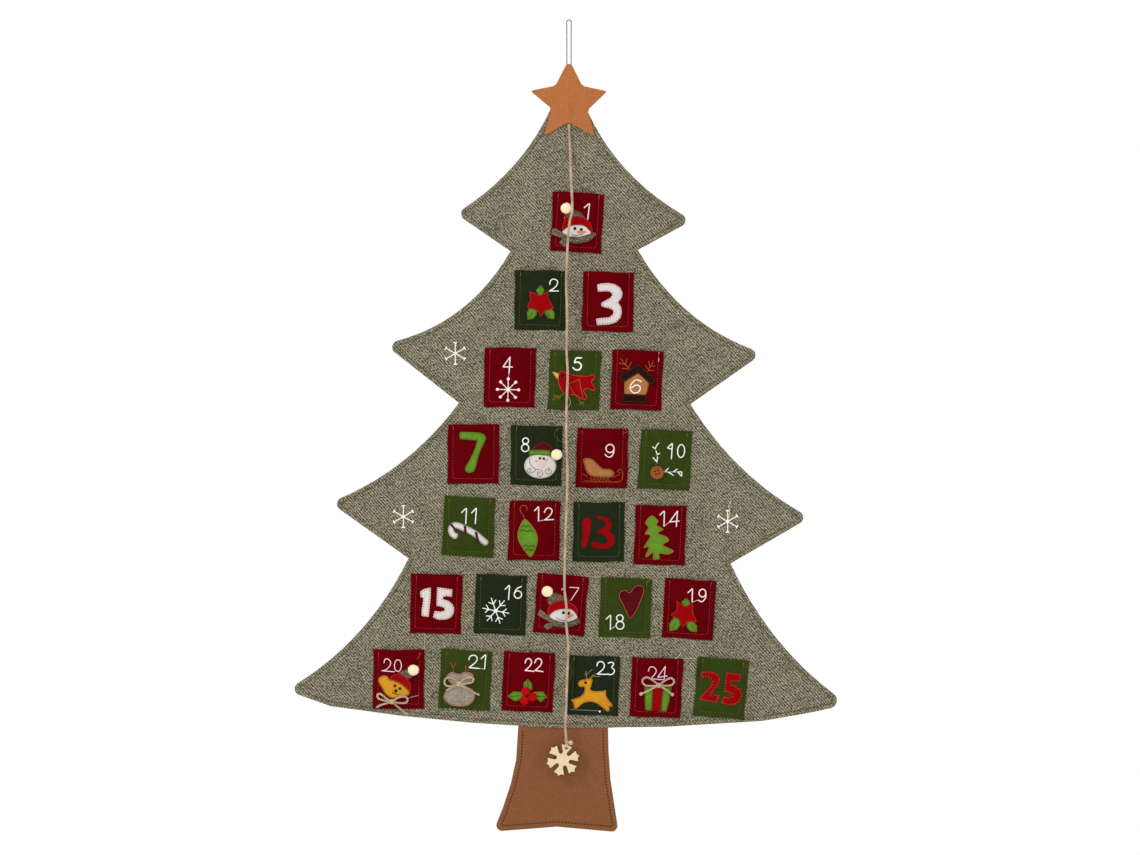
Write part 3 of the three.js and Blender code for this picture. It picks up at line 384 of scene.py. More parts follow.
bead_centre = (end_x + BEAD, end_y - SNOWFLAKE_PLY / 2 - 0.4 - BEAD / 2, link_top - BEAD / 2)
knot_parts = [closed_tube(link, LINK_CORD / 2, 8)]
knot_parts += wrapped_ball(bead_centre, BEAD / 2, WRAP_CORD)
neck_start = (end_x, bead_centre[1] + 0.6, bead_centre[2] + 0.4)
neck_bend = (end_x + 1.6, bead_centre[1] - 0.2, bead_centre[2] + 0.8)
knot_parts.append(tube(smooth_line([neck_start, neck_bend, bead_centre]), 0.85))
for turn in range(3):
    height = link_top + 0.5 - turn * WRAP_PITCH
    wrap = [(end_x + 1.5 * math.cos(a), end_y + 1.7 * math.sin(a) - 0.2, height + 0.35 * math.cos(a))
            for a in angles[::2]]
    knot_parts.append(closed_tube(wrap, WRAP_CORD, 6))
knot_parts += loose_hairs([bead_centre, neck_start], 1.6, count=16, seed=5, length=3)
knot = piece("marker_knot_jute", gathered(knot_parts), jute_twine, "twine", "marker",
             ["marker_knot"])

# Day marker, the snowflake. Laser-cut from 3 mm birch plywood: pale smooth faces with a fine
# straight grain, and edges that the laser burnt dark brown.
SNOWFLAKE_RADIUS = 20
SNOWFLAKE_TURN = 14
SNOWFLAKE_HOLE = 3.4
SNOWFLAKE_HOLE_REACH = 14.2
SLOT_REACH = 9.9
SLOT_RADIUS = 2.4
EDGE_EASE = 0.25


def around(outline, thickness, front, ease=0.25, holes=()):
    """A flat board cut to an outline, with its arrises eased and any holes, given clockwise, cut
    right through."""
    loops = [np.asarray(outline, float)] + [np.asarray(hole, float) for hole in holes]
    inner = [shrunk(loop, ease) for loop in loops]
    points, starts = [], []
    for depth, rings in ((0, inner), (ease, loops), (thickness - ease, loops), (thickness, inner)):
        for ring in rings:
            starts.append(len(points))
            points.extend((x, front + depth, z) for x, z in ring)
    faces = []
    count = len(loops)
    for level in range(3):
        for k, loop in enumerate(loops):
            a, b, size = starts[level * count + k], starts[(level + 1) * count + k], len(loop)
            for i in range(size):
                j = (i + 1) % size
                faces.append((a + i, b + i, b + j, a + j))
    flat = [Vector(p) for ring in inner for p in ring]
    edges, start = [], 0
    for ring in inner:
        edges += [(start + i, start + (i + 1) % len(ring)) for i in range(len(ring))]
        start += len(ring)
    ring_of = [k for k, ring in enumerate(inner) for _ in ring]
    _, _, triangles, origins, _, _ = delaunay_2d_cdt(flat, edges, [], 2, 1e-6)
    for triangle in triangles:
        a, b, c = (origins[i][0] for i in triangle)
        # A triangle with all its corners on one hole's edge would close that hole
        if ring_of[a] and ring_of[a] == ring_of[b] == ring_of[c]:
            continue
        faces.append((a, b, c))
        last = starts[3 * count]
        faces.append((c + last, b + last, a + last))
    return np.array(points), faces


def shrunk(outline, distance):
    """An outline moved inward, for one that runs anticlockwise, or outward where negative."""
    outline = np.asarray(outline, float)
    back = outline - np.roll(outline, 1, axis=0)
    ahead = np.roll(outline, -1, axis=0) - outline
    back /= np.linalg.norm(back, axis=1, keepdims=True)
    ahead /= np.linalg.norm(ahead, axis=1, keepdims=True)
    first = np.column_stack([-back[:, 1], back[:, 0]])
    last = np.column_stack([-ahead[:, 1], ahead[:, 0]])
    reach = distance / (1 + (first * last).sum(1))
    return outline + (first + last) * reach[:, None]


def turned(reach, degrees):
    """The point at a distance and an angle from the middle."""
    return np.array([reach * math.cos(math.radians(degrees)),
                     reach * math.sin(math.radians(degrees))])


snowflake = []
for arm in range(6):
    middle = SNOWFLAKE_TURN + 60 * arm
    # An arm ends in two shoulders and a point between them, with a shallow scallop on each side
    for degrees, share in ((-21, 0.9), (-17.5, 0.92), (-11, 0.895), (-5, 0.93), (-1.5, 1),
                           (1.5, 1), (5, 0.93), (11, 0.895), (17.5, 0.92), (21, 0.9)):
        snowflake.append(turned(share * SNOWFLAKE_RADIUS, middle + degrees))
    slot = turned(SLOT_REACH, middle + 30)
    for step in range(9):
        snowflake.append(slot + turned(SLOT_RADIUS, middle + 30 - 90 - 180 * step / 8))
hole = turned(SNOWFLAKE_HOLE_REACH, SNOWFLAKE_TURN + 60)
flake_centre = np.array([end_x, link_top - LINK_HEIGHT]) - hole
ring = [hole + turned(SNOWFLAKE_HOLE / 2, 360 * i / 20) for i in range(20)]


def birch_ply(name, face_codes, edge_code):
    """Birch ply: satin pale faces with grain 0.6 mm apart, and a laser-burnt edge."""
    material, tree, place = blank_material(name)
    grain_place = add(tree, "Mapping", {"Vector": place, "Rotation": (0, 0.35, 0),
                                        "Scale": (1 / (0.6 * MM), 1, 1 / (9 * MM))})
    grain = add(tree, "TexNoise", {"Vector": grain_place.outputs[0], "Scale": 1, "Detail": 4})
    share = add(tree, "MapRange", {0: grain.outputs[0], 1: 0.3, 2: 0.7})
    face = add(tree, "Mix", {0: share.outputs[0], 6: linear(face_codes[0]),
                             7: linear(face_codes[1])}, data_type="RGBA")
    normal = add(tree, "NewGeometry").outputs["True Normal"]
    parts = add(tree, "SeparateXYZ", {0: normal})
    flat = add(tree, "Math", {0: parts.outputs[1]}, operation="ABSOLUTE")
    on_face = add(tree, "MapRange", {0: flat.outputs[0], 1: 0.55, 2: 0.95})
    colour = add(tree, "Mix", {0: on_face.outputs[0], 6: linear(edge_code), 7: face.outputs[2]},
                 data_type="RGBA")
    bump = add(tree, "Bump", {"Height": grain.outputs[0], "Strength": 0.15,
                              "Distance": 0.1 * MM})
    surface = add(tree, "BsdfPrincipled", {
        "Base Color": colour.outputs[2], "Roughness": 0.6, "Normal": bump.outputs[0]})
    add(tree, "OutputMaterial", {"Surface": surface.outputs[0]})
    return material


flake_shape = around(np.array(snowflake) + flake_centre, SNOWFLAKE_PLY,
                     end_y - SNOWFLAKE_PLY / 2, EDGE_EASE, [np.array(ring)[::-1] + flake_centre])
birch = birch_ply("laser_cut_birch_ply", (0xFADFB0, 0xFFEFC8), 0x5A361C)
flake = piece("marker_snowflake_ply", flake_shape, birch, "plywood", "snowflake",
              ["marker_snowflake"], 30)

# Hanging loop. One thin cord of two plies, drab linen, that turns over at the top. Both its ends
# are sewn in between the two linens behind the star.
LOOP_CORD = 1.5
LOOP_SPACING = 5.4
TREE_TOP = -71.6
LOOP_TUCK = 20


def dyed_yarn(name, pale, dark, grain=0.8, sheen=0.05, painted_glow=0):
    """Spun yarn: matt, with soft streaks where its fibres lie closer or looser. It can carry a
    painted
    glow: emission in its darker colour, which makes it brighter than the lamps light it."""
    material, tree, place = blank_material(name)
    streak = add(tree, "TexNoise", {"Vector": place, "Scale": 1 / (grain * MM), "Detail": 3})
    share = add(tree, "MapRange", {0: streak.outputs[0], 1: 0.3, 2: 0.7})
    colour = add(tree, "Mix", {0: share.outputs[0], 6: linear(dark), 7: linear(pale)},
                 data_type="RGBA")
    bump = add(tree, "Bump", {"Height": streak.outputs[0], "Strength": 0.4, "Distance": 0.2 * MM})
    surface = add(tree, "BsdfPrincipled", {
        "Base Color": colour.outputs[2], "Roughness": 0.8, "Specular IOR Level": 0.25,
        "Sheen Weight": sheen, "Sheen Roughness": 0.5, "Normal": bump.outputs[0],
        "Emission Color": linear(dark), "Emission Strength": painted_glow})
    add(tree, "OutputMaterial", {"Surface": surface.outputs[0]})
    return material


half = LOOP_SPACING / 2
turn_height = LOOP_CORD / 2 - half
loop_line = [(-half, 0, TREE_TOP - LOOP_TUCK), (-half * 0.94, 0, TREE_TOP / 2),
             (-half, 0, turn_height - 3)]
loop_line += [(-half * math.cos(a), 0, turn_height + half * math.sin(a))
              for a in np.linspace(0, math.pi, 9)]
loop_line += [(half, 0, turn_height - 3), (half * 0.96, 0, TREE_TOP / 2),
              (half, 0, TREE_TOP - LOOP_TUCK)]
loop_yarn = dyed_yarn("linen_cord", 0xA89D89, 0x7C7160)
loop = piece("hanging_loop_cord", gathered(laid_plies(smooth_line(loop_line, 6), LOOP_CORD, 2, 5)),
             loop_yarn, "cord", replaces=["hanging_loop"])

# Linen panel. A heavy twill in heathered linen, woven from a pale and a dark yarn, forms the front.
# A plain linen closes the back. The two are sewn face to face, turned out and pressed, which rolls
# their edges together, and topstitched all round. Both have slightly wavy faces from the pressing.
TREE_WIDTH = 651
TREE_HEIGHT = 778
APEX_RADIUS = 12
TIP_RADIUS = 8
LOW_TIP_RADIUS = 10
FRONT_LINEN = 1.2
BACK_LINEN = 0.6
INNER_SPACE = 2.6
EDGE_ROLL = 3.5
RIGHT_TIERS = [((0.215, 0.216), 0.027, (0.127, 0.262)), ((0.344, 0.423), 0.024, (0.224, 0.5)),
               ((0.432, 0.675), 0.017, (0.298, 0.746)), ((0.494, 0.959), 0.018, None)]
LEFT_TIERS = [((-0.199, 0.206), 0.022, (-0.108, 0.264)), ((-0.326, 0.41), 0.027, (-0.203, 0.498)),
              ((-0.428, 0.653), 0.018, (-0.296, 0.738)), ((-0.506, 0.94), 0.021, None)]
HEM = [(0.44, 0.977), (0.356, 0.989), (0.177, 0.998), (-0.017, 1), (-0.175, 0.992),
       (-0.31, 0.981), (-0.44, 0.966)]
TRUNK_MIDDLE = -14.7
TRUNK_REACH = 66


def tree_point(share):
    """The place at shares of the tree's width and height, down from its top."""
    return np.array([share[0] * TREE_WIDTH, TREE_TOP - share[1] * TREE_HEIGHT])


def rounded(corners, arc_steps=8, edge_steps=12):
    """An outline through clockwise corners (point, radius, sag), returned anticlockwise.

    A rounded corner keeps its outermost point, and an edge with a sag is hollowed by it.
    """
    count = len(corners)
    middles, ends, points = [], [], []
    for i, (at, _, sag) in enumerate(corners):
        ahead = corners[(i + 1) % count][0] - at
        ahead = ahead / np.linalg.norm(ahead)
        inward = np.array([ahead[1], -ahead[0]])
        middles.append((at + corners[(i + 1) % count][0]) / 2 + inward * 2 * sag)
    for i, (at, radius, _) in enumerate(corners):
        before, after = at - middles[i - 1], middles[i] - at
        first = np.array([-before[1], before[0]]) / np.linalg.norm(before)
        last = np.array([-after[1], after[0]]) / np.linalg.norm(after)
        middle = (first + last) / np.linalg.norm(first + last)
        ends.append((at - middle * radius, radius, first, last))
    for i, (centre, radius, first, last) in enumerate(ends):
        points.append(centre + first * radius)
        if radius:
            start, stop = math.atan2(first[1], first[0]), math.atan2(last[1], last[0])
            sweep = (stop - start) % (2 * math.pi) - 2 * math.pi
            points += [centre + turned(radius, math.degrees(start + sweep * k / arc_steps))
                       for k in range(1, arc_steps)]
            points.append(centre + last * radius)
        if corners[i][2]:
            goal = ends[(i + 1) % count]
            goal = goal[0] + goal[2] * goal[1]
            begin = centre + last * radius
            for t in np.linspace(0, 1, edge_steps + 1)[1:-1]:
                points.append(begin * (1 - t)**2 + 2 * middles[i] * t * (1 - t) + goal * t**2)
    return np.array(points)[::-1]


def densified(outline, step):
    """An outline with points added, so that no edge is longer than a step."""
    points = []
    for i, start in enumerate(outline):
        end = outline[(i + 1) % len(outline)]
        count = max(1, math.ceil(np.linalg.norm(end - start) / step))
        points += [start + (end - start) * k / count for k in range(count)]
    return np.array(points)


def edge_distance(points, outline):
    """How far each point lies inside an outline, and below zero outside it."""
    points, start = np.asarray(points, float), np.asarray(outline, float)
    end = np.roll(start, -1, axis=0)
    along = end - start
    found = []
    for part in np.array_split(points, max(1, len(points) // 800)):
        p = part[:, None]
        t = np.clip(((p - start) * along).sum(-1) / (along * along).sum(-1), 0, 1)
        near = np.linalg.norm(p - start - along * t[..., None], axis=-1).min(1)
        spans = (start[:, 1] > p[..., 1]) != (end[:, 1] > p[..., 1])
        rise = np.where(along[:, 1] == 0, 1e-9, along[:, 1])
        right = p[..., 0] < along[:, 0] * (p[..., 1] - start[:, 1]) / rise + start[:, 0]
        found.append(np.where((spans & right).sum(1) % 2 == 1, near, -near))
    return np.concatenate(found)


def cut_cloth(outline, thickness, back, step, pressed=None, rings=(0.2, 0.6), edge_step=None):
    """A closed sheet of cloth cut to an outline.

    back gives the height of its back face from places and their distances from the edge, and
    pressed how far its front is pressed in there, as a seam does.
    """
    outline = densified(outline, edge_step or step)
    layers, distances = [outline], [np.zeros(len(outline))]
    for ring in rings:
        inner = shrunk(outline, ring)
        depth = edge_distance(inner, outline)
        keep = depth > 0.97 * ring
        layers.append(inner[keep])
        distances.append(depth[keep])
    low, high = outline.min(0), outline.max(0)
    columns = np.arange(low[0] + step / 2, high[0], step)
    rows = np.arange(low[1] + step / 2, high[1], step * 0.866)
    grid = np.array([(x + (k % 2) * step / 2, z) for k, z in enumerate(rows) for x in columns])
    depth = edge_distance(grid, outline)
    keep = depth > rings[-1] + 0.45 * step
    layers.append(grid[keep])
    distances.append(depth[keep])
    flat, depth = np.vstack(layers), np.concatenate(distances)
    base = back(flat, depth)
    ease = 0.35 * thickness * np.clip(1 - depth / (0.6 * thickness), 0, 1)**2
    front = base - thickness + ease
    if pressed is not None:
        front = front + pressed(flat, depth)
    count = len(flat)
    points = np.vstack([np.column_stack([flat[:, 0], front, flat[:, 1]]),
                        np.column_stack([flat[:, 0], base - ease, flat[:, 1]])])
    size = len(outline)
    edges = [(i, (i + 1) % size) for i in range(size)]
    _, _, triangles, origins, _, _ = delaunay_2d_cdt([Vector(p) for p in flat], edges, [], 1, 1e-7)
    faces = []
    for triangle in triangles:
        a, b, c = (origins[i][0] for i in triangle)
        faces += [(a, b, c), (c + count, b + count, a + count)]
    for i, j in edges:
        faces.append((i, i + count, j + count, j))
    return points, faces


corners = [(tree_point((0, 0)), APEX_RADIUS, RIGHT_TIERS[0][1] * TREE_WIDTH)]
for k, (tip, _, notch) in enumerate(RIGHT_TIERS):
    if notch:
        corners.append((tree_point(tip), TIP_RADIUS, 0))
        corners.append((tree_point(notch), 0, RIGHT_TIERS[k + 1][1] * TREE_WIDTH))
    else:
        corners.append((tree_point(tip), LOW_TIP_RADIUS, 0))
corners += [(tree_point(place), 0, 0) for place in HEM]
for tip, sag, notch in LEFT_TIERS[::-1]:
    if notch:
        corners.append((tree_point(notch), 0, 0))
    corners.append((tree_point(tip), TIP_RADIUS, sag * TREE_WIDTH))
tree_outline = rounded(corners)

# The pressing left soft waves 38 to 95 mm long, and two level creases where the panel was folded
WAVE_COUNT = 9
WAVE_LENGTHS = (38, 95)
WAVE_DEPTH = 0.32
CREASES = (-275.6, -461.6)
CREASE_DEPTH = 0.6
CREASE_WIDTH = 1.7
MOST_PRESSED = 0.95
draw = random.Random(4)
PRESSING_WAVES = [(draw.uniform(0, 6.28), draw.uniform(0, 6.28),
                   2 * math.pi / draw.uniform(*WAVE_LENGTHS), draw.uniform(0, math.pi))
                  for _ in range(WAVE_COUNT)]


def smooth_step(value):
    """From 0 to 1 without a corner at either end."""
    value = np.clip(value, 0, 1)
    return value * value * (3 - 2 * value)


def pressing(x, z):
    """How far the linen's face lies back from its foremost plane, in soft waves and creases."""
    waves = sum(np.sin((x * math.cos(way) + z * math.sin(way)) * rate + start)
                for start, _, rate, way in PRESSING_WAVES)
    hollow = WAVE_DEPTH * (0.5 + waves / WAVE_COUNT * 1.1)
    for crease in CREASES:
        line = z - crease - 1.8 * np.sin(x / 47) - 1.1 * np.sin(x / 19 + 1)
        fades = 0.6 + 0.4 * np.sin(x / 61 + crease)
        hollow = hollow + CREASE_DEPTH * np.exp(-(line / CREASE_WIDTH)**2) * fades
    return np.clip(hollow, 0, MOST_PRESSED)


def rolled(flat, depth):
    """How far the edge is rolled in, which is nowhere where the trunk or the loop enters."""
    x, z = flat[:, 0], flat[:, 1]
    hem = tree_point((0, 1))[1]
    trunk = smooth_step((TRUNK_REACH + 6 - np.abs(x - TRUNK_MIDDLE)) / 6) * (z < hem + 30)
    loop_end = (np.abs(x) < 9) & (z > TREE_TOP - 30)
    roll = np.clip(1 - depth / EDGE_ROLL, 0, 1)
    return (1 - np.sqrt(1 - roll**2)) * (1 - trunk) * (1 - loop_end)


def seam_groove(depth, inset, deep=0.35, wide=0.9):
    """How far a seam's stitches draw the cloth in, at a distance from its edge."""
    return deep * np.exp(-((depth - inset) / wide)**2)


TOPSTITCH_INSET = 5.4
EDGE_GAP = 0.06


def front_linen_back(flat, depth):
    """The front linen's inner face. The pressing moves it by less than the outer face."""
    inner = INNER_SPACE / 2
    waves = pressing(flat[:, 0], flat[:, 1]) * 0.6
    return -inner + (inner - EDGE_GAP) * rolled(flat, depth) + waves


def front_linen_pressed(flat, depth):
    """How far the front linen's outer face is pressed in beyond its inner one."""
    return (pressing(flat[:, 0], flat[:, 1]) * 0.4 + seam_groove(depth, TOPSTITCH_INSET)
            + 0.15 * rolled(flat, depth))


# A wave texture's bands lie one unit apart at this scale
BAND_SCALE = 0.31416


def heathered_twill(name, pale, dark, pitch=2.8):
    """Linen twill: dry and matt. The pale yarn floats over the dark one in fine diagonal ribs
    that run down to the right. Slubs in the weft cross them in darker and paler level streaks.
    The real ribs are 2.4 mm apart. They are drawn 2.8 mm apart, as finer ones wouldn't show."""
    material, tree, place = blank_material(name)
    slanted = add(tree, "Mapping", {"Vector": place, "Rotation": (0, math.radians(42), 0)})
    sway = add(tree, "TexNoise", {"Vector": place, "Scale": 1 / (9 * MM), "Detail": 2})
    sway = add(tree, "Math", {0: sway.outputs[0], 1: 0.003}, operation="MULTIPLY")
    shift = add(tree, "CombineXYZ", {0: sway.outputs[0]})
    moved = add(tree, "VectorMath", {0: slanted.outputs[0], 1: shift.outputs[0]}, operation="ADD")
    ribs = add(tree, "TexWave", {"Vector": moved.outputs[0], "Scale": BAND_SCALE / (pitch * MM),
                                 "Distortion": 0.6, "Detail": 1, "Detail Scale": 0.8},
               wave_type="BANDS", bands_direction="X", wave_profile="SIN")
    float_place = add(tree, "Mapping", {"Vector": slanted.outputs[0],
                                        "Scale": (1 / (1.4 * MM), 1, 1 / (2.2 * MM))})
    floats = add(tree, "TexNoise", {"Vector": float_place.outputs[0], "Scale": 1, "Detail": 1})
    slub_place = add(tree, "Mapping", {"Vector": place,
                                       "Scale": (1 / (14 * MM), 1, 1 / (1.9 * MM))})
    slubs = add(tree, "TexNoise", {"Vector": slub_place.outputs[0], "Scale": 1, "Detail": 2})
    speck = add(tree, "TexNoise", {"Vector": place, "Scale": 1 / (1.9 * MM), "Detail": 2})
    zones = add(tree, "TexNoise", {"Vector": place, "Scale": 1 / (34 * MM), "Detail": 3})
    clear = add(tree, "MapRange", {0: zones.outputs[0], 1: 0.38, 2: 0.62, 3: 0.55, 4: 0.8})

    def weighted(source, weight):
        centred = add(tree, "Math", {0: source, 1: 0.5}, operation="SUBTRACT").outputs[0]
        return add(tree, "Math", {0: centred, 1: weight}, operation="MULTIPLY").outputs[0]

    terms = [weighted(ribs.outputs["Fac"], clear.outputs[0]), weighted(floats.outputs[0], 2.2),
             weighted(slubs.outputs[0], 1), weighted(speck.outputs[0], 1.7),
             weighted(zones.outputs[0], 0.4)]
    share = 0.4
    for term in terms:
        share = add(tree, "Math", {0: term, 1: share}, operation="ADD").outputs[0]
    colour = add(tree, "Mix", {0: share, 6: linear(dark), 7: linear(pale)}, data_type="RGBA",
                 clamp_factor=True)
    rough = add(tree, "MapRange", {0: share, 3: 0.95, 4: 0.8})
    bump = add(tree, "Bump", {"Height": share, "Strength": 0.55, "Distance": 0.35 * MM})
    surface = add(tree, "BsdfPrincipled", {
        "Base Color": colour.outputs[2], "Roughness": rough.outputs[0],
        "Specular IOR Level": 0.15, "Sheen Weight": 0.03, "Sheen Roughness": 0.6,
        "Normal": bump.outputs[0]})
    add(tree, "OutputMaterial", {"Surface": surface.outputs[0]})
    return material


# Rings of points follow the edge, close enough for its roll and the topstitching's groove
ROLL_RINGS = (0.5, 1.4, 2.6, 3.9)
GROOVE_RINGS = (4.7, 5.4, 6.1, 7.2)
twill = heathered_twill("heathered_linen_twill", 0xBCB59A, 0x463F2D)
front_shape = cut_cloth(tree_outline, FRONT_LINEN, front_linen_back, step=3.2,
                        pressed=front_linen_pressed, rings=ROLL_RINGS + GROOVE_RINGS)
front_linen = piece("front_linen", front_shape, twill, "linen_front", replaces=["front_panel"])


def plain_linen(name, pale, dark):
    """Plain linen: matt and even, single yarns 1.1 mm apart crossing over and under."""
    material, tree, place = blank_material(name)
    yarns = []
    for direction in ("X", "Z"):
        yarns.append(add(tree, "TexWave", {"Vector": place, "Scale": BAND_SCALE / (1.1 * MM),
                                           "Distortion": 1.5, "Detail": 1, "Detail Scale": 2},
                         wave_type="BANDS", bands_direction=direction).outputs["Fac"])
    weave = add(tree, "Math", {0: yarns[0], 1: yarns[1]}, operation="ADD")
    slub_place = add(tree, "Mapping", {"Vector": place, "Scale": (1 / (30 * MM), 1, 1 / (2 * MM))})
    slubs = add(tree, "TexNoise", {"Vector": slub_place.outputs[0], "Scale": 1, "Detail": 3})
    both = add(tree, "Math", {0: weave.outputs[0], 1: 0.22, 2: slubs.outputs[0]},
               operation="MULTIPLY_ADD")
    share = add(tree, "MapRange", {0: both.outputs[0], 1: 0.5, 2: 0.95})
    colour = add(tree, "Mix", {0: share.outputs[0], 6: linear(dark), 7: linear(pale)},
                 data_type="RGBA")
    bump = add(tree, "Bump", {"Height": both.outputs[0], "Strength": 0.5, "Distance": 0.25 * MM})
    surface = add(tree, "BsdfPrincipled", {
        "Base Color": colour.outputs[2], "Roughness": 0.88, "Specular IOR Level": 0.2,
        "Normal": bump.outputs[0]})
    add(tree, "OutputMaterial", {"Surface": surface.outputs[0]})
    return material


def back_linen_back(flat, depth):
    """The hanging's back face, which lies on the wall and rolls in at the edge."""
    inner = INNER_SPACE / 2 + BACK_LINEN
    return inner - inner * 0.8 * rolled(flat, depth) - 0.6 * pressing(flat[:, 0] + 300, flat[:, 1])


back_shape = cut_cloth(tree_outline, BACK_LINEN, back_linen_back, step=5,
                       rings=ROLL_RINGS + (5.4,))
backing = plain_linen("plain_linen_backing", 0xAFA995, 0x857E69)
back_linen = piece("back_linen", back_shape, backing, "linen_back", replaces=["back_panel"])

# Interlining. A needled white sheet that keeps the tree flat. It lies loose between the linens,
# stops short of the turned edge, and ends under the loop's sewn ends.
INTERLINING = 2.0
INTERLINING_INSET = 7
INTERLINING_TOP = -93.1


def needled(name, pale, dark):
    """Needled sheet: matt tangled fibre, pricked with small dents 4 mm apart."""
    material, tree, place = blank_material(name)
    fibre = add(tree, "TexNoise", {"Vector": place, "Scale": 1 / (1.4 * MM), "Detail": 5,
                                   "Distortion": 1})
    dents = add(tree, "TexVoronoi", {"Vector": place, "Scale": 1 / (4 * MM)})
    height = add(tree, "Math", {0: fibre.outputs[0], 1: dents.outputs["Distance"]},
                 operation="ADD")
    colour = add(tree, "Mix", {0: fibre.outputs[0], 6: linear(dark), 7: linear(pale)},
                 data_type="RGBA")
    bump = add(tree, "Bump", {"Height": height.outputs[0], "Strength": 0.5, "Distance": 0.4 * MM})
    surface = add(tree, "BsdfPrincipled", {
        "Base Color": colour.outputs[2], "Roughness": 0.95, "Specular IOR Level": 0.15,
        "Normal": bump.outputs[0]})
    add(tree, "OutputMaterial", {"Surface": surface.outputs[0]})
    return material


inset_outline = shrunk(densified(tree_outline, 6), INTERLINING_INSET)
inset_outline = inset_outline[edge_distance(inset_outline, tree_outline)
                              > 0.98 * INTERLINING_INSET]
inset_outline = inset_outline[inset_outline[:, 1] < INTERLINING_TOP]


def level(height):
    """A cloth's face that lies flat at a height."""
    return lambda places, depth=None: np.full(len(places), height)


inner_shape = cut_cloth(inset_outline, INTERLINING, level(INTERLINING / 2), step=9,
                        rings=(0.5, 1.2))
needled_sheet = needled("needled_sheet", 0xE2DFD4, 0xC9C4B6)
inner_sheet = piece("interlining_needled", inner_shape, needled_sheet, "interlining",
                    replaces=["interlining"])

# Felt. Wool felt: dense, matt and fibrous, dyed in the piece, so its cut edges have the colour
# of its faces. The same few colours are used all over the hanging.


def wool_felt(name, code, mottle=0.27, clouds=0.35):
    """Wool felt: short fibres lie every way, so the colour is mottled a little at 1 to 3 mm and
    the surface catches a faint haze of light at a low angle."""
    material, tree, place = blank_material(name)
    fibre = add(tree, "TexNoise", {"Vector": place, "Scale": 1 / (1.5 * MM), "Detail": 6,
                                   "Roughness": 0.65, "Distortion": 0.8})
    cloud = add(tree, "TexNoise", {"Vector": place, "Scale": 1 / (11 * MM), "Detail": 3})
    both = add(tree, "Math", {0: cloud.outputs[0], 1: clouds, 2: fibre.outputs[0]},
               operation="MULTIPLY_ADD")
    share = add(tree, "MapRange", {0: both.outputs[0], 1: 0.28 + clouds / 2, 2: 0.72 + clouds / 2})
    tone = linear(code)
    darker = [c * (1 - mottle) for c in tone[:3]] + [1]
    paler = [min(1, c * (1 + mottle)) for c in tone[:3]] + [1]
    colour = add(tree, "Mix", {0: share.outputs[0], 6: darker, 7: paler}, data_type="RGBA")
    bump = add(tree, "Bump", {"Height": fibre.outputs[0], "Strength": 0.6, "Distance": 0.3 * MM})
    surface = add(tree, "BsdfPrincipled", {
        "Base Color": colour.outputs[2], "Roughness": 0.95, "Specular IOR Level": 0.02,
        "Sheen Weight": 0.01, "Sheen Roughness": 0.5, "Sheen Tint": paler,
        "Normal": bump.outputs[0]})
    add(tree, "OutputMaterial", {"Surface": surface.outputs[0]})
    return material


felts = {
    "crimson": (wool_felt("felt_crimson", 0x6B020C), "felt_crimson"),
    "dark_green": (wool_felt("felt_dark_green", 0x262E1C), "felt_dark_green"),
    "olive": (wool_felt("felt_olive", 0x394719), "felt_olive"),
    "leaf": (wool_felt("felt_leaf_green", 0x6A9C2E), "felt_leaf_green"),
    "red": (wool_felt("felt_red", 0xA50810), "felt_red"),
    "berry": (wool_felt("felt_berry_red", 0xC4121A), "felt_red"),
    "white": (wool_felt("felt_white", 0xF0E7E4, 0.09), "felt_white"),
    "golden": (wool_felt("felt_golden", 0xE5A128), "felt_golden"),
    "maize": (wool_felt("felt_maize", 0xF0B45A), "felt_golden"),
    "tan": (wool_felt("felt_tan", 0xBD7E4B), "felt_tan"),
    "brown": (wool_felt("felt_brown", 0x2D1613), "felt_brown"),
    "burgundy": (wool_felt("felt_burgundy", 0x5D121B, 0.6), "felt_burgundy"),
    "star": (wool_felt("felt_star", 0xC57948, clouds=0.12), "felt_star"),
    "trunk": (wool_felt("felt_trunk", 0x93603E, clouds=0.12), "felt_trunk"),
}

# Trunk. Two brown felts laid together and topstitched with dark thread along the sides and foot.
# Their upper edge is tucked in between the linens at the hem and caught by the hem's seam.
TRUNK_WIDTH = 142
TRUNK_DROP = 122
TRUNK_TUCK = 6
TRUNK_CORNER_RADIUS = 7
TRUNK_FELT = 1
LAYER_GAP = 0.2
TRUNK_LOW = [(0.438, 0.23), (0.454, 0.5), (0.5, 1), (0, 0.97), (-0.5, 0.99), (-0.451, 0.77),
             (-0.387, 0.54), (-0.344, 0.31)]
TRUNK_TOP = (-0.324, 0.433)
TRUNK_STITCH_INSET = 6

hem = tree_point((0, 1))[1]
corners = [(np.array([TRUNK_MIDDLE + x * TRUNK_WIDTH, hem + TRUNK_TUCK]), 0, 0) for x in TRUNK_TOP]
corners += [(np.array([TRUNK_MIDDLE + x * TRUNK_WIDTH, hem - z * TRUNK_DROP]),
             TRUNK_CORNER_RADIUS if abs(x) == 0.5 else 0, 0) for x, z in TRUNK_LOW]
trunk_outline = rounded(corners)


def softened(outline, rounds=2):
    """An outline with its corners cut smooth."""
    outline = np.asarray(outline, float)
    for _ in range(rounds):
        ahead = np.roll(outline, -1, axis=0)
        outline = np.stack([0.75 * outline + 0.25 * ahead, 0.25 * outline + 0.75 * ahead],
                           axis=1).reshape(-1, 2)
    return outline


def trunk_pressed(flat, depth):
    """The groove of the trunk's topstitching, which starts below the hem."""
    below = smooth_step((hem - 2 - flat[:, 1]) / 4)
    return seam_groove(depth, TRUNK_STITCH_INSET, 0.3, 0.8) * below


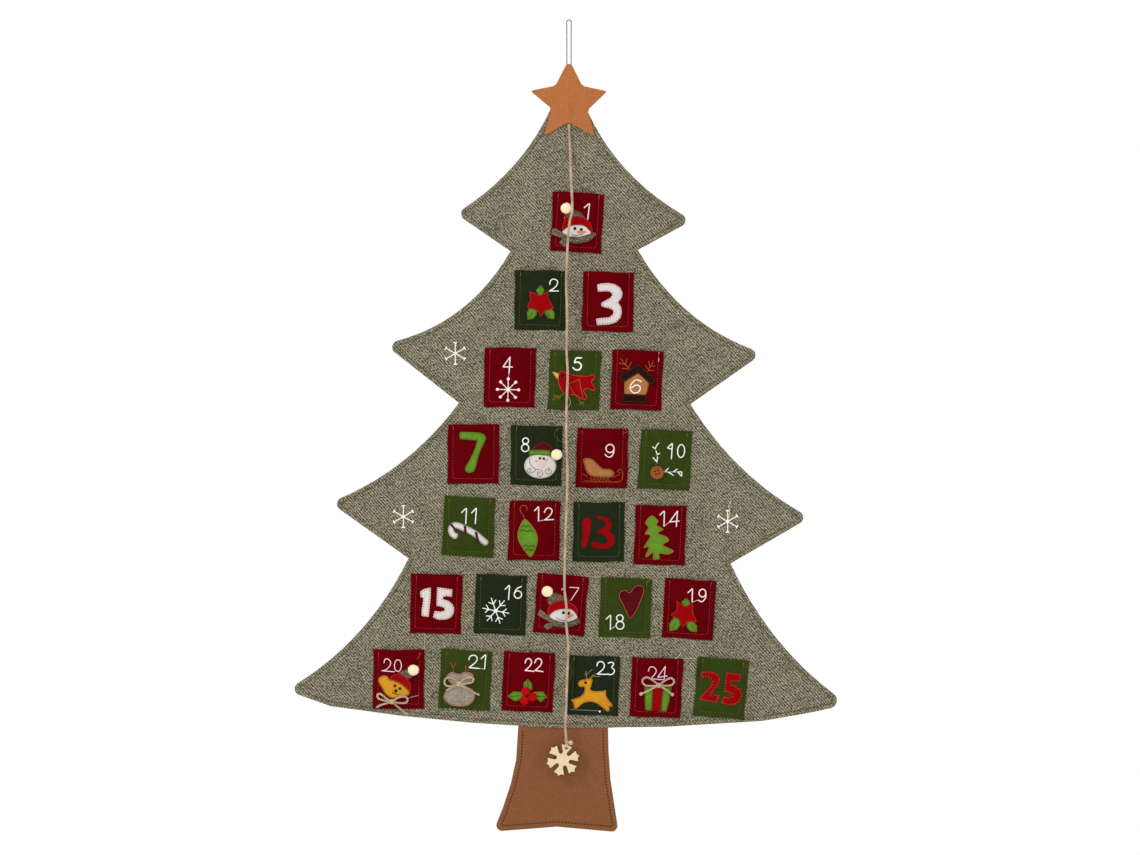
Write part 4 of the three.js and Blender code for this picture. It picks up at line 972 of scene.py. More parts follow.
trunk_front_shape = cut_cloth(trunk_outline, TRUNK_FELT, level(-LAYER_GAP / 2), step=2.4,
                              pressed=trunk_pressed, rings=(0.2, 0.6, 3, 4.6, 5.4, 6, 6.6, 7.6))
trunk_front = piece("trunk_front_felt", trunk_front_shape, *felts["trunk"],
                    replaces=["trunk_front"])
trunk_back_shape = cut_cloth(trunk_outline, TRUNK_FELT, level(LAYER_GAP / 2 + TRUNK_FELT), step=4)
trunk_back = piece("trunk_back_felt", trunk_back_shape, *felts["trunk"], replaces=["trunk_back"])

# Star. One rust-brown felt, hand cut, sewn on over the top of the tree. The twine's sewn end runs
# up under it and raises a soft ridge in the middle.
STAR_FELT = 1.5
STAR_BACK = -2.8
STAR_OUTLINE = [(-3, -52.6), (-16.4, -78.6), (-44.4, -84.3), (-45.2, -86), (-20.9, -106.2),
                (-29.9, -137), (-28.4, -138.2), (-0.2, -122.6), (29.2, -139.2), (31, -137.8),
                (22.3, -107.9), (44.8, -86.6), (44, -84.8), (16, -78.8), (3, -52.8)]
STAR_RIDGE = 1.15
STAR_RIDGE_WIDTH = 2.6
STAR_RIDGE_TOP = -88
STAR_MIDDLE = -99.2
STAR_CURL = 0.3
star_outline = np.array(STAR_OUTLINE, float)


def star_back(flat, depth):
    """The star's back face, raised over the twine's end, with its points curled forward."""
    x, z = flat[:, 0], flat[:, 1]
    ridge = STAR_RIDGE * np.exp(-((x - TWINE_ROUTE[0][0]) / STAR_RIDGE_WIDTH)**2)
    ridge = ridge * smooth_step((STAR_RIDGE_TOP - z) / 10)
    curl = STAR_CURL * smooth_step((np.hypot(x, z - STAR_MIDDLE) - 30) / 20)
    return STAR_BACK - ridge - curl


star_shape = cut_cloth(softened(densified(star_outline, 12), 1), STAR_FELT, star_back, step=1.5,
                       edge_step=1.5)
star = piece("star_felt", star_shape, *felts["star"], replaces=["star"])

# Threads. Cotton sewing thread and embroidery floss, soft and matt, in the maker's colours. Pink and
# rose are white floss tinted by a painted reflection of the crimson felt it lies on. The white, pink
# and rose threads carry a painted glow. A stitch is one short length of it that dips into the cloth
# at both ends.
threads = {name: dyed_yarn(f"thread_{name}", pale, dark, 0.5,
                           painted_glow=0.2 if name in ("white", "pink", "rose") else 0)
           for name, pale, dark in (
    ("ochre", 0xCDA43C, 0xA07C28), ("rust", 0xD87C3C, 0xA8582A), ("brick", 0xC4503A, 0x983024),
    ("brown", 0x6B4630, 0x47291D), ("white", 0xFFFFFF, 0xF6F6F2), ("pink", 0xFFF6F6, 0xF4E0E2),
    ("black", 0x100E10, 0x080608), ("olive", 0x7A7836, 0x565A26), ("moss", 0x3A5618, 0x263C10),
    ("drab", 0x5C5742, 0x3C3828), ("wine", 0x6A1520, 0x470C15), ("mauve", 0x8A6C76, 0x64505A),
    ("carrot", 0xF6A070, 0xE08450), ("flesh", 0xFBE3CC, 0xF0CFB2), ("blush", 0xE6B4A6, 0xD49C8E),
    ("tan", 0xC79A6C, 0x9C6E44), ("chalk", 0xE6E4D8, 0xCCC9BA), ("rose", 0xFFE4EE, 0xF2D0DE),
    ("umber", 0x3C2012, 0x28140A))}


def stitch_row(line, front, pitch, share, gauge, closed=False):
    """A row of stitches along a line on a cloth, whose front is given for places on it.

    A stitch fills its share of the pitch from one hole to the next, and gauge is its thickness.
    """
    marks = evenly(np.asarray(line, float), pitch, closed)
    parts = []
    count = len(marks) if closed else len(marks) - 1
    for i in range(count):
        a, b = marks[i], marks[(i + 1) % len(marks)]
        middle, reach = (a + b) / 2, (b - a) / 2 * share
        places = np.array([middle + reach * t for t in (-1, -0.72, 0, 0.72, 1)])
        height = front(places) - gauge * np.array([-0.35, 0.18, 0.36, 0.18, -0.35])
        stitch = np.column_stack([places[:, 0], height, places[:, 1]])
        parts.append(tube(stitch, gauge / 2 * np.array([0.6, 0.95, 1, 0.95, 0.6]), 5))
    return parts


def panel_front(flat):
    """The height of the front linen's face, on which the embroidery lies."""
    flat = np.asarray(flat, float)
    return -INNER_SPACE / 2 - FRONT_LINEN + pressing(flat[:, 0], flat[:, 1])


# Topstitching. A drab thread runs round the tree 5 mm inside its edge and holds the turned seam
# flat. A dark one runs round the trunk's sides and foot.
seam_line = shrunk(densified(tree_outline, 2), TOPSTITCH_INSET)
seam_line = seam_line[edge_distance(seam_line, tree_outline) > 0.99 * TOPSTITCH_INSET]
rows = stitch_row(seam_line, lambda p: panel_front(p) + 0.2, pitch=3.6, share=0.7, gauge=0.8,
                  closed=True)
topstitch = piece("topstitch_tree", gathered(rows), threads["drab"], "linen_front")
trunk_line = shrunk(densified(trunk_outline, 2), TRUNK_STITCH_INSET)
trunk_line = trunk_line[(edge_distance(trunk_line, trunk_outline) > 0.99 * TRUNK_STITCH_INSET)
                        & (trunk_line[:, 1] < hem - 1)]
first = np.argmax(np.linalg.norm(trunk_line - np.roll(trunk_line, 1, axis=0), axis=1))
trunk_line = np.roll(trunk_line, -first, axis=0)
rows = stitch_row(trunk_line, level(-LAYER_GAP / 2 - TRUNK_FELT + 0.2), pitch=3.8, share=0.45,
                  gauge=1.2)
trunk_stitch = piece("topstitch_trunk", gathered(rows), threads["umber"], "felt_trunk")

# Embroidery on the linen. Three small white snowflakes of six arms stand beside the pockets, one
# with its thread's end left long. Short chalk marks show where the pockets' edges were to go.
PANEL_FLAKES = [(-136.4, -399.8), (-198.7, -595.6), (190.4, -601.4)]
PANEL_FLAKE_REACH = 13
PANEL_FLAKE_CROSS = 2.2
PANEL_THREAD_END = [(190.4, -601.4), (193, -590), (191.5, -583), (194.3, -576.8)]
UPRIGHT_CHALK = [(-40.8, -380, -393.2), (-145.7, -560, -572), (-173.2, -736.4, -753.2),
                 (118.2, -648.8, -671.6)]
LEVEL_CHALK = [(-574.9, -88, -72), (-579.6, 66, 79), (-663.5, -129, -112.5), (-667.7, 21, 37.5),
               (-762.8, 60, 74.5), (-766, 135, 152), (-484.4, -8.5, 9)]

rows = stitch_row(smooth_line(PANEL_THREAD_END, 5), panel_front, pitch=2, share=1.3, gauge=0.45)
for middle in np.array(PANEL_FLAKES):
    for arm in range(6):
        end = middle + turned(PANEL_FLAKE_REACH, 30 + 60 * arm)
        cross = turned(PANEL_FLAKE_CROSS, 120 + 60 * arm)
        rows += stitch_row([middle, end], panel_front, pitch=3.2, share=0.95, gauge=1.5)
        rows += stitch_row([end - cross, end + cross], panel_front, 2 * PANEL_FLAKE_CROSS, share=1,
                           gauge=1.8)
panel_flakes = piece("panel_snowflakes", gathered(rows), threads["white"], "linen_front")
rows = []
marks = [[(x, high), (x, low)] for x, high, low in UPRIGHT_CHALK]
marks += [[(left, z), (right, z)] for z, left, right in LEVEL_CHALK]
for mark in marks:
    rows += stitch_row(mark, panel_front, pitch=3, share=1.3, gauge=0.5)
chalk_marks = piece("panel_chalk", gathered(rows), threads["chalk"], "linen_front")

# Pockets. Each is one felt, hand cut, sewn on along its sides and foot with ochre or brick thread
# and puffed a little by wear. Its mouth stands open at the top, with a bar of stitches each side.
POCKET_WIDTH = 60
POCKET_HEIGHT = 70
POCKET_SPREAD = 0.6
POCKET_FELT = 1
POCKET_SEAM = 5.5
POCKET_PUFF = 4.5
POCKET_RISE = 26
POCKET_RIPPLE = 0.25
POCKET_BACK = -2.7
BAR_LENGTH = 4
POCKETS = {
    1: ((0.015, 0.22), 3.3, "crimson"), 2: ((-0.053, 0.34), 1.5, "dark_green"),
    3: ((0.072, 0.342), 1.5, "crimson"), 4: ((-0.109, 0.459), 1.4, "crimson"),
    5: ((0.01, 0.463), 2.4, "olive"), 6: ((0.125, 0.463), 2.6, "crimson"),
    7: ((-0.176, 0.577), 0.4, "crimson"), 8: ((-0.06, 0.579), 0.8, "dark_green"),
    9: ((0.061, 0.583), 1.4, "crimson"), 10: ((0.177, 0.586), 3.4, "olive"),
    11: ((-0.185, 0.689), 2.2, "olive"), 12: ((-0.064, 0.695), 1.5, "crimson"),
    13: ((0.055, 0.697), 1, "dark_green"), 14: ((0.168, 0.702), 2.5, "crimson"),
    15: ((-0.245, 0.808), 1.9, "crimson"), 16: ((-0.126, 0.809), 1.9, "dark_green"),
    17: ((-0.015, 0.809), 4.2, "crimson"), 18: ((0.104, 0.814), 2.4, "olive"),
    19: ((0.221, 0.816), 3.2, "crimson"), 20: ((-0.314, 0.924), 1.1, "crimson"),
    21: ((-0.191, 0.925), 3.2, "olive"), 22: ((-0.075, 0.928), 3.1, "crimson"),
    23: ((0.045, 0.934), 2.2, "dark_green"), 24: ((0.161, 0.937), 2.9, "crimson"),
    25: ((0.28, 0.938), 4.7, "olive"),
}
SEAM_THREAD = {"crimson": ("brick", "rust"), "dark_green": ("olive", "ochre"),
               "olive": ("olive", "ochre")}


def outward(day, local):
    """Places on the hanging for places in a pocket's own tilted frame."""
    at, tilt, _ = POCKETS[day]
    sin, cos = math.sin(math.radians(tilt)), math.cos(math.radians(tilt))
    u, v = np.asarray(local, float).T
    return np.column_stack([u * cos + v * sin, v * cos - u * sin]) + tree_point(at)


def inward(day, places):
    """How far places on the hanging lie across and up from a pocket's middle, in its own frame."""
    at, tilt, _ = POCKETS[day]
    sin, cos = math.sin(math.radians(tilt)), math.cos(math.radians(tilt))
    x, z = (np.asarray(places, float) - tree_point(at)).T
    return x * cos - z * sin, x * sin + z * cos


def pocket_back(day, places):
    """The height of a pocket's felt, which bows out between its seams."""
    u, v = inward(day, places)
    reach = POCKET_WIDTH / 2 - POCKET_SEAM
    side = 1 - np.clip(np.abs(u) / reach, 0, 1)**3.4
    foot = 1 - np.clip(1 - (v + POCKET_HEIGHT / 2 - POCKET_SEAM) / POCKET_RISE, 0, 1)**3
    ripple = POCKET_RIPPLE * np.sin(u / 6.3 + day * 1.7) * np.sin(v / 9.1 + day) * side * foot
    return POCKET_BACK - (POCKET_PUFF - POCKET_RIPPLE) * side * foot + ripple


def lifted(day, lift):
    """The height of what lies on a pocket, for the given lift off its felt."""
    return lambda places, depth=None: pocket_back(day, places) - POCKET_FELT - lift


def seam_depth(day, places):
    """The distance from a pocket's stitch line, on its sides and foot."""
    u, v = inward(day, places)
    side = np.abs(np.abs(u) - (POCKET_WIDTH / 2 - POCKET_SEAM))
    side = np.where(v > -POCKET_HEIGHT / 2 + POCKET_SEAM - 1, side, 99)
    foot = np.abs(v + POCKET_HEIGHT / 2 - POCKET_SEAM)
    foot = np.where(np.abs(u) < POCKET_WIDTH / 2 - POCKET_SEAM + 1, foot, 99)
    return np.minimum(side, foot)


def edge_fuzz(outline, back, thickness, draw, count):
    """Short fibres that stand out of a felt's cut edge."""
    marks = evenly(densified(outline, 1), 0.7, closed=True)
    ahead = np.roll(marks, -1, axis=0) - np.roll(marks, 1, axis=0)
    ahead /= np.linalg.norm(ahead, axis=1, keepdims=True)
    parts = []
    for _ in range(count):
        k = draw.randrange(len(marks))
        out = np.array([ahead[k, 1], -ahead[k, 0]]) + ahead[k] * draw.uniform(-1, 1)
        root = np.array([marks[k, 0], 0, marks[k, 1]])
        root[1] = back(marks[k:k + 1])[0] - thickness * draw.uniform(0.2, 0.9)
        tip = root + np.array([out[0], draw.uniform(-0.4, 0.1), out[1]]) * draw.uniform(0.4, 1.1)
        parts.append(tube(np.array([root, tip]), [0.16, 0.07], 3))
    return parts


pocket_parts = {day: [] for day in POCKETS}
thread_parts = {}
pocket_cuts = {}


def sewn_on(day, name, shape, material, slot, **settings):
    """A piece that goes with a pocket's felt."""
    pocket_parts[day].append(piece(name, shape, material, slot, **settings))


for day, (_, _, felt) in POCKETS.items():
    draw = random.Random(day)
    half_width, half_height = POCKET_WIDTH / 2, POCKET_HEIGHT / 2
    side, end = half_width + POCKET_SPREAD, half_height + POCKET_SPREAD
    cut = densified(np.array([(-side, end), (-side, -end), (side, -end), (side, end)]), 5)
    # The hand-cut edges wander by up to 0.75 mm, in short and longer waves
    starts = [draw.uniform(0, 6.28) for _ in range(4)]
    u, v = cut.T
    cut = cut + np.column_stack([
        0.35 * np.sin(v / 7 + starts[0]) + 0.3 * np.sin(v / 17 + starts[1]) * np.sign(u),
        0.3 * np.sin(u / 6 + starts[2]) + 0.45 * np.sin(u / 15 + starts[3])])
    cut = pocket_cuts[day] = outward(day, cut)
    back = lifted(day, -POCKET_FELT)
    shape = cut_cloth(cut, POCKET_FELT, back, step=1.7, pressed=lambda flat, depth: seam_groove(
        seam_depth(day, flat), 0, 0.3, 0.8))
    shape = gathered([shape, *edge_fuzz(cut, back, POCKET_FELT, draw, count=240)])
    sewn_on(day, f"pocket_{day}_felt", shape, *felts[felt], replaces=[f"pocket_{day}"])
    inner, low = half_width - POCKET_SEAM, -half_height + POCKET_SEAM
    top = half_height - draw.uniform(1, 3)
    seam = np.array([(-inner, top), (-inner, low + 1.5), (-inner + 1.5, low), (inner - 1.5, low),
                     (inner, low + 1.5), (inner, top)])
    seam_thread, bar_thread = SEAM_THREAD[felt]
    rows = stitch_row(outward(day, seam), lifted(day, -0.15), pitch=3.3, share=0.68, gauge=0.62)
    bars = thread_parts[day, "bars", bar_thread] = []
    for side in (-inner, inner):
        bar = outward(day, [(side + 0.25, top), (side - 0.1, top - BAR_LENGTH)])
        bars += stitch_row(bar, lifted(day, -0.05), pitch=2, share=1.2, gauge=0.5)
    sewn_on(day, f"pocket_{day}_seam", gathered(rows), threads[seam_thread], felts[felt][1])

# Felt numerals. Days 3, 7, 13, 15 and 25 have big digits cut from one felt each, oversewn round
# the edge with small stitches that show as dots.
NUMERAL_FELT = 0.8
NUMERAL_LIFT = 0.05
FELT_DIGITS = {
    3: ("white", "brick", [[
        (-.23, .332), (-.142, .357), (.001, .368), (.127, .346), (.236, .281), (.285, .175),
        (.268, .077), (.195, -.015), (.263, -.097), (.281, -.218), (.252, -.326), (.165, -.417),
        (.023, -.46), (-.209, -.477), (-.234, -.347), (-.106, -.332), (.037, -.314),
        (.112, -.244), (.105, -.172), (.032, -.135), (-.076, -.116), (-.133, -.095),
        (-.135, -.032), (-.044, .024), (.045, .076), (.084, .138), (.032, .201), (-.084, .202),
        (-.209, .186)]]),
    7: ("leaf", "moss", [[
        (-.283, .404), (-.259, .438), (-.093, .439), (.123, .429), (.218, .391), (.25, .33),
        (.224, .239), (.162, .122), (.11, -.019), (.077, -.144), (.045, -.277), (.004, -.352),
        (-.07, -.382), (-.14, -.361), (-.167, -.303), (-.138, -.232), (-.072, -.12),
        (-.007, .013), (.045, .146), (.074, .271), (-.108, .286), (-.269, .298)]]),
    13: ("red", "wine", [
        [(-.34, .165), (-.324, .235), (-.267, .277), (-.192, .279), (-.153, .235), (-.164, .085),
         (-.194, -.09), (-.233, -.265), (-.276, -.318), (-.331, -.313), (-.344, -.242),
         (-.319, -.084), (-.333, .066)],
        [(-.065, .311), (.031, .324), (.147, .298), (.232, .233), (.266, .151), (.234, .067),
         (.194, .017), (.269, -.024), (.32, -.106), (.319, -.205), (.257, -.289), (.158, -.332),
         (.026, -.335), (-.091, -.312), (-.15, -.255), (-.134, -.205), (-.06, -.203),
         (.057, -.235), (.157, -.225), (.172, -.158), (.121, -.076), (.037, -.028),
         (-.054, -.021), (-.047, .013), (.052, .064), (.134, .123), (.141, .173), (.082, .239),
         (-.018, .262)]]),
    15: ("white", "brick", [
        [(-.325, .228), (-.293, .266), (-.211, .307), (-.112, .327), (-.106, .144),
         (-.121, -.056), (-.134, -.263), (-.276, -.247), (-.28, -.127), (-.263, .006),
         (-.255, .114), (-.308, .121)],
        [(.015, .339), (.32, .305), (.314, .15), (.2, .168), (.138, .144), (.145, .099),
         (.245, .076), (.33, .013), (.369, -.072), (.361, -.181), (.306, -.261), (.216, -.302),
         (.067, -.312), (-.051, -.269), (-.019, -.132), (.086, -.148), (.177, -.129),
         (.179, -.079), (.108, -.045), (.013, -.038)]]),
    25: ("red", "rust", [
        [(-.422, .299), (-.325, .319), (-.182, .318), (-.086, .281), (-.034, .196),
         (-.043, .106), (-.103, .006), (-.195, -.134), (-.016, -.125), (-.052, -.289),
         (-.412, -.265), (-.395, -.192), (-.294, -.067), (-.21, .047), (-.193, .12),
         (-.243, .184), (-.325, .199), (-.406, .166)],
        [(.068, .33), (.382, .32), (.365, .163), (.189, .161), (.17, .111), (.295, .076),
         (.394, .004), (.436, -.097), (.408, -.215), (.316, -.298), (.175, -.324), (.021, -.296),
         (.05, -.152), (.162, -.159), (.235, -.135), (.21, -.088), (.136, -.068),
         (.069, -.055)]]),
}


def in_shares(day, shares):
    """Places on the hanging for shares of a pocket's width from its middle."""
    return outward(day, np.asarray(shares, float) * POCKET_WIDTH)


def anticlockwise(outline):
    """The same outline, turned round if it runs clockwise."""
    x, z = outline.T
    turning = (x * np.roll(z, -1) - z * np.roll(x, -1)).sum()
    return outline if turning > 0 else outline[::-1]


def inset_line(outline, inset):
    """A closed line that runs a little inside an outline."""
    outline = densified(outline, 0.8)
    line = shrunk(outline, inset)
    line = line[edge_distance(line, outline) > 0.97 * inset]
    return line


def overcast(outline, front, gauge=0.75, pitch=3.1, reach=1.5):
    """Small stitches square to an outline, over the edge of what it bounds."""
    marks = evenly(densified(outline, 1), pitch, closed=True)
    ahead = np.roll(marks, -1, axis=0) - np.roll(marks, 1, axis=0)
    ahead /= np.linalg.norm(ahead, axis=1, keepdims=True)
    inside = np.column_stack([-ahead[:, 1], ahead[:, 0]])
    parts = []
    for mark, way in zip(marks, inside):
        places = np.array([mark + way * t for t in (0.3, 0.6, reach, reach + 0.3)])
        height = front(places) - gauge * np.array([-0.3, 0.3, 0.3, -0.5])
        parts.append(tube(np.column_stack([places[:, 0], height, places[:, 1]]),
                          gauge / 2 * np.array([0.7, 1, 1, 0.6]), 5))
    return parts


for day, (felt, thread, digits) in FELT_DIGITS.items():
    rows = []
    for k, digit in enumerate(digits):
        outline = anticlockwise(softened(densified(in_shares(day, digit), 3), 1))
        shape = cut_cloth(outline, NUMERAL_FELT, lifted(day, NUMERAL_LIFT), step=1.3)
        sewn_on(day, f"numeral_{day}_{k + 1}", shape, *felts[felt])
        rows += overcast(outline, lifted(day, NUMERAL_LIFT + NUMERAL_FELT))
    sewn_on(day, f"numeral_{day}_stitches", gathered(rows), threads[thread], felts[felt][1])

# Thread numerals. The other twenty days are embroidered in bold white floss, in single strokes.
# Thin jump threads still join some of the digits. Day 6 is sewn on the front of its birdhouse.
FIGURE_FELT = 1
UPPER_FELT = 0.7
BASE_LIFT = 0.1
BASE_TOP = BASE_LIFT + FIGURE_FELT
UPPER_LIFT = BASE_TOP + 0.05
LEVELS = (0, BASE_TOP, UPPER_LIFT + UPPER_FELT)
NUMERAL_FLOSS = 1.5
JUMP_THREAD = 0.5
OTHER_FLOSS = {5: 2, 17: 1.15, 20: 1.2, 24: 1.2}


def sew(day, thread, *lines, on=1, gauge=0.75, pitch=2.3, share=1.2, closed=False,
        name="stitches"):
    """Stitches along lines in shares of the pocket's width, on its felt or on a figure's."""
    rows = thread_parts.setdefault((day, name, thread), [])
    for line in lines:
        places = in_shares(day, line)
        if len(line) > 3:
            places = smooth_line(places, 6, closed)
        rows += stitch_row(places, lifted(day, LEVELS[on]), pitch, share, gauge, closed)


def oval(centre, across, down=None):
    """An oval line in shares, closed on itself."""
    return [(centre[0] + across * math.cos(math.radians(a)),
             centre[1] + (down or across) * math.sin(math.radians(a))) for a in range(0, 361, 30)]


NUMERALS = {
    1: [[(.124, .296), (.228, .397), (.206, .065)]],
    2: [[(.185, .318), (.192, .389), (.253, .43), (.338, .393), (.319, .303), (.258, .239),
         (.179, .187)], [(.179, .187), (.363, .194)]],
    4: [[(-.003, .407), (-.143, .205), (.051, .21)], [(-.003, .407), (-.017, .08)]],
    5: [[(.127, .447), (.011, .442), (-.014, .344)],
        [(-.014, .344), (.067, .36), (.128, .297), (.098, .22), (.026, .2), (-.047, .25)]],
    6: [[(.091, -.03), (-.015, .007), (-.108, -.087), (-.128, -.185), (-.051, -.262),
         (.056, -.226), (.069, -.128), (-.01, -.1), (-.104, -.16)]],
    8: [oval((-.22, .287), .062), oval((-.226, .146), .075)],
    9: [oval((.153, .193), .083), [(.233, .187), (.222, .095), (.174, .027), (.107, .026),
                                   (.056, .074)]],
    10: [[(.031, .243), (.124, .348), (.122, .027)], [(.031, .243), (.12, .22)],
         oval((.308, .196), .072, .132)],
    11: [[(-.148, .277), (-.053, .38), (-.057, .053)], [(.051, .276), (.146, .388), (.134, .067)]],
    12: [[(-.007, .398), (.077, .488), (.081, .195)],
         [(.193, .37), (.244, .459), (.327, .445), (.345, .379), (.281, .286), (.203, .221)],
         [(.203, .221), (.382, .231)]],
    14: [[(-.028, .401), (.06, .493), (.065, .182)], [(.322, .496), (.173, .273), (.368, .299)],
         [(.322, .496), (.314, .188)]],
    16: [[(.081, .312), (.168, .401), (.158, .107)], oval((.34, .212), .075),
         [(.401, .375), (.308, .332), (.265, .235)]],
    17: [[(-.01, .295), (.064, .354), (.066, .101)], [(.147, .36), (.338, .362), (.194, .103)]],
    18: [[(-.377, -.243), (-.29, -.148), (-.285, -.447)], oval((-.104, -.207), .067),
         oval((-.095, -.351), .08)],
    19: [[(-.042, .329), (.045, .425), (.052, .143)], oval((.249, .337), .07, .08),
         [(.321, .332), (.313, .24), (.247, .162), (.171, .194)]],
    20: [[(-.293, .321), (-.278, .393), (-.219, .406), (-.161, .345), (-.179, .262),
          (-.269, .177), (-.335, .166)], [(-.335, .166), (-.078, .151)],
         oval((-.014, .277), .07, .12)],
    21: [[(.05, .409), (.076, .485), (.161, .506), (.218, .451), (.186, .366), (.062, .255)],
         [(.062, .255), (.267, .246)], [(.29, .439), (.38, .532), (.373, .235)]],
    22: [[(-.083, .373), (-.058, .454), (.008, .466), (.048, .4), (.008, .312), (-.076, .227)],
         [(-.076, .227), (.1, .22)],
         [(.109, .387), (.141, .465), (.207, .477), (.249, .416), (.215, .331), (.124, .238)],
         [(.124, .238), (.287, .222)]],
    23: [[(.053, .401), (.075, .476), (.149, .491), (.204, .431), (.179, .344), (.067, .24)],
         [(.067, .24), (.263, .239)],
         [(.275, .462), (.343, .487), (.395, .447), (.347, .384), (.409, .326), (.386, .256),
          (.317, .233), (.271, .255)]],
    24: [[(-.178, .322), (-.155, .398), (-.094, .418), (-.025, .363), (-.038, .287),
          (-.124, .175)], [(-.124, .175), (.135, .168)],
         [(.154, .438), (.011, .212), (.205, .248)], [(.154, .438), (.143, .169)]],
}
JUMPS = {4: [(-.017, .08), (-.028, -.03)], 12: [(.081, .195), (.203, .221)],
         14: [(.065, .182), (.173, .273)], 18: [(-.285, -.447), (-.17, -.36)],
         19: [(.052, .143), (.171, .194)], 21: [(.267, .246), (.373, .235)],
         22: [(.1, .22), (.124, .238)]}
# On crimson pockets the white floss is drawn pink or rose, a painted reflection of the crimson felt
# round it
for day, lines in NUMERALS.items():
    shade = "pink" if POCKETS[day][2] == "crimson" and day != 6 else "white"
    shade = "rose" if day in (17, 20, 24) else shade
    sew(day, shade, *lines, on=1 if day == 6 else 0, name="numeral",
        gauge=OTHER_FLOSS.get(day, NUMERAL_FLOSS))
    if day in JUMPS:
        sew(day, shade, JUMPS[day], on=0, gauge=JUMP_THREAD, name="numeral")

# Snowmen, days 1 and 17. A white felt face under a red felt hat. The hat's crown and the scarf
# with its two tails are scraps of tweed. All is sewn on with small running stitches inside the
# edges. The eyes, nose and mouth are embroidered, and the hat ends in a wool pompom.
EDGE_INSET = 0.9


def cut_out(day, name, felt, shares, upper=False, curved=4, edge=None, gauge=0.7, replaces=()):
    """A felt cut to an outline in shares of the pocket's width, and sewn on."""
    outline = in_shares(day, shares)
    if curved:
        outline = smooth_line(outline, curved, closed=True)
    else:
        outline = softened(densified(outline, 3), 1)
    outline = anticlockwise(outline)
    lift, thickness = (UPPER_LIFT, UPPER_FELT) if upper else (BASE_LIFT, FIGURE_FELT)
    shape = cut_cloth(outline, thickness, lifted(day, lift), step=1.4)
    sewn_on(day, f"{name}_{day}", shape, *felts[felt], replaces=replaces)
    if edge:
        rows = thread_parts.setdefault((day, "stitches", edge), [])
        rows += stitch_row(inset_line(outline, EDGE_INSET), lifted(day, lift + thickness),
                           pitch=2.2, share=0.9, gauge=gauge, closed=True)


def ball(centre, radii, rows=8, columns=12, bumps=0, grain=1):
    """A round or flattened ball, lumpy where bumps is given."""
    ways = []
    for i in range(1, rows):
        lean = math.pi * i / rows
        ways += [Vector((math.sin(lean) * math.cos(turn), math.sin(lean) * math.sin(turn),
                         math.cos(lean))) for turn in np.linspace(0, 2 * math.pi, columns + 1)[:-1]]
    ways += [Vector((0, 0, 1)), Vector((0, 0, -1))]
    points = []
    for way in ways:
        reach = 1 + bumps * noise.noise(way * grain + Vector(centre))
        points.append([c + r * w * reach for c, r, w in zip(centre, radii, way)])
    faces, top = [], len(ways) - 2
    for k in range(columns):
        j = (k + 1) % columns
        faces += [(i * columns + k, i * columns + columns + k, i * columns + columns + j,
                   i * columns + j) for i in range(rows - 2)]
        last = (rows - 2) * columns
        faces += [(top, k, j), (top + 1, last + j, last + k)]
    return np.array(points), faces


def spot(day, share, lift):
    """The point over a place on a pocket, at a lift off its felt."""
    place = in_shares(day, [share])
    return place[0, 0], lifted(day, lift)(place)[0], place[0, 1]


def bead(day, thread, share, radius, on=1):
    """An eye or a knot of floss, with its radius as a share of the pocket's width."""
    x, y, z = spot(day, share, LEVELS[on])
    thread_parts.setdefault((day, "stitches", thread), []).append(
        ball((x, y - 0.3, z), (radius * POCKET_WIDTH, 0.8, radius * POCKET_WIDTH)))


def tweed(name, pale, dark, fleck):
    """Tweed: matt carded wool, woven coarse, so yarns 1.5 mm apart show as soft grey-brown
    checks, with pale flecks of neps."""
    material, tree, place = blank_material(name)
    yarns = [add(tree, "TexWave", {"Vector": place, "Scale": BAND_SCALE / (1.5 * MM),
                                   "Distortion": 3, "Detail": 2, "Detail Scale": 2},
                 wave_type="BANDS", bands_direction=way).outputs["Fac"] for way in ("X", "Z")]
    weave = add(tree, "Math", {0: yarns[0], 1: yarns[1]}, operation="MULTIPLY")
    wool = add(tree, "TexNoise", {"Vector": place, "Scale": 1 / (2.2 * MM), "Detail": 4})
    both = add(tree, "Math", {0: weave.outputs[0], 1: 0.5, 2: wool.outputs[0]},
               operation="MULTIPLY_ADD")
    share = add(tree, "MapRange", {0: both.outputs[0], 1: 0.45, 2: 0.95})
    base = add(tree, "Mix", {0: share.outputs[0], 6: linear(dark), 7: linear(pale)},
               data_type="RGBA")
    neps = add(tree, "TexVoronoi", {"Vector": place, "Scale": 1 / (2.4 * MM)})
    spot = add(tree, "MapRange", {0: neps.outputs["Distance"], 1: 0.32, 2: 0.18})
    colour = add(tree, "Mix", {0: spot.outputs[0], 6: base.outputs[2], 7: linear(fleck)},
                 data_type="RGBA")
    bump = add(tree, "Bump", {"Height": both.outputs[0], "Strength": 0.7, "Distance": 0.5 * MM})
    surface = add(tree, "BsdfPrincipled", {
        "Base Color": colour.outputs[2], "Roughness": 0.95, "Specular IOR Level": 0.12,
        "Sheen Weight": 0.15, "Sheen Roughness": 0.5, "Normal": bump.outputs[0]})
    add(tree, "OutputMaterial", {"Surface": surface.outputs[0]})
    return material


felts["tweed"] = (tweed("carded_tweed", 0x97896F, 0x4E4436, 0xB8AC96), "sack_linen")
# The clipped wool carries a painted glow, so the pompoms render brighter than the lamps light them
clipped_wool = dyed_yarn("clipped_wool", 0xFFF8E4, 0xFFEFC6, grain=1.1, sheen=0.3, painted_glow=0.14)


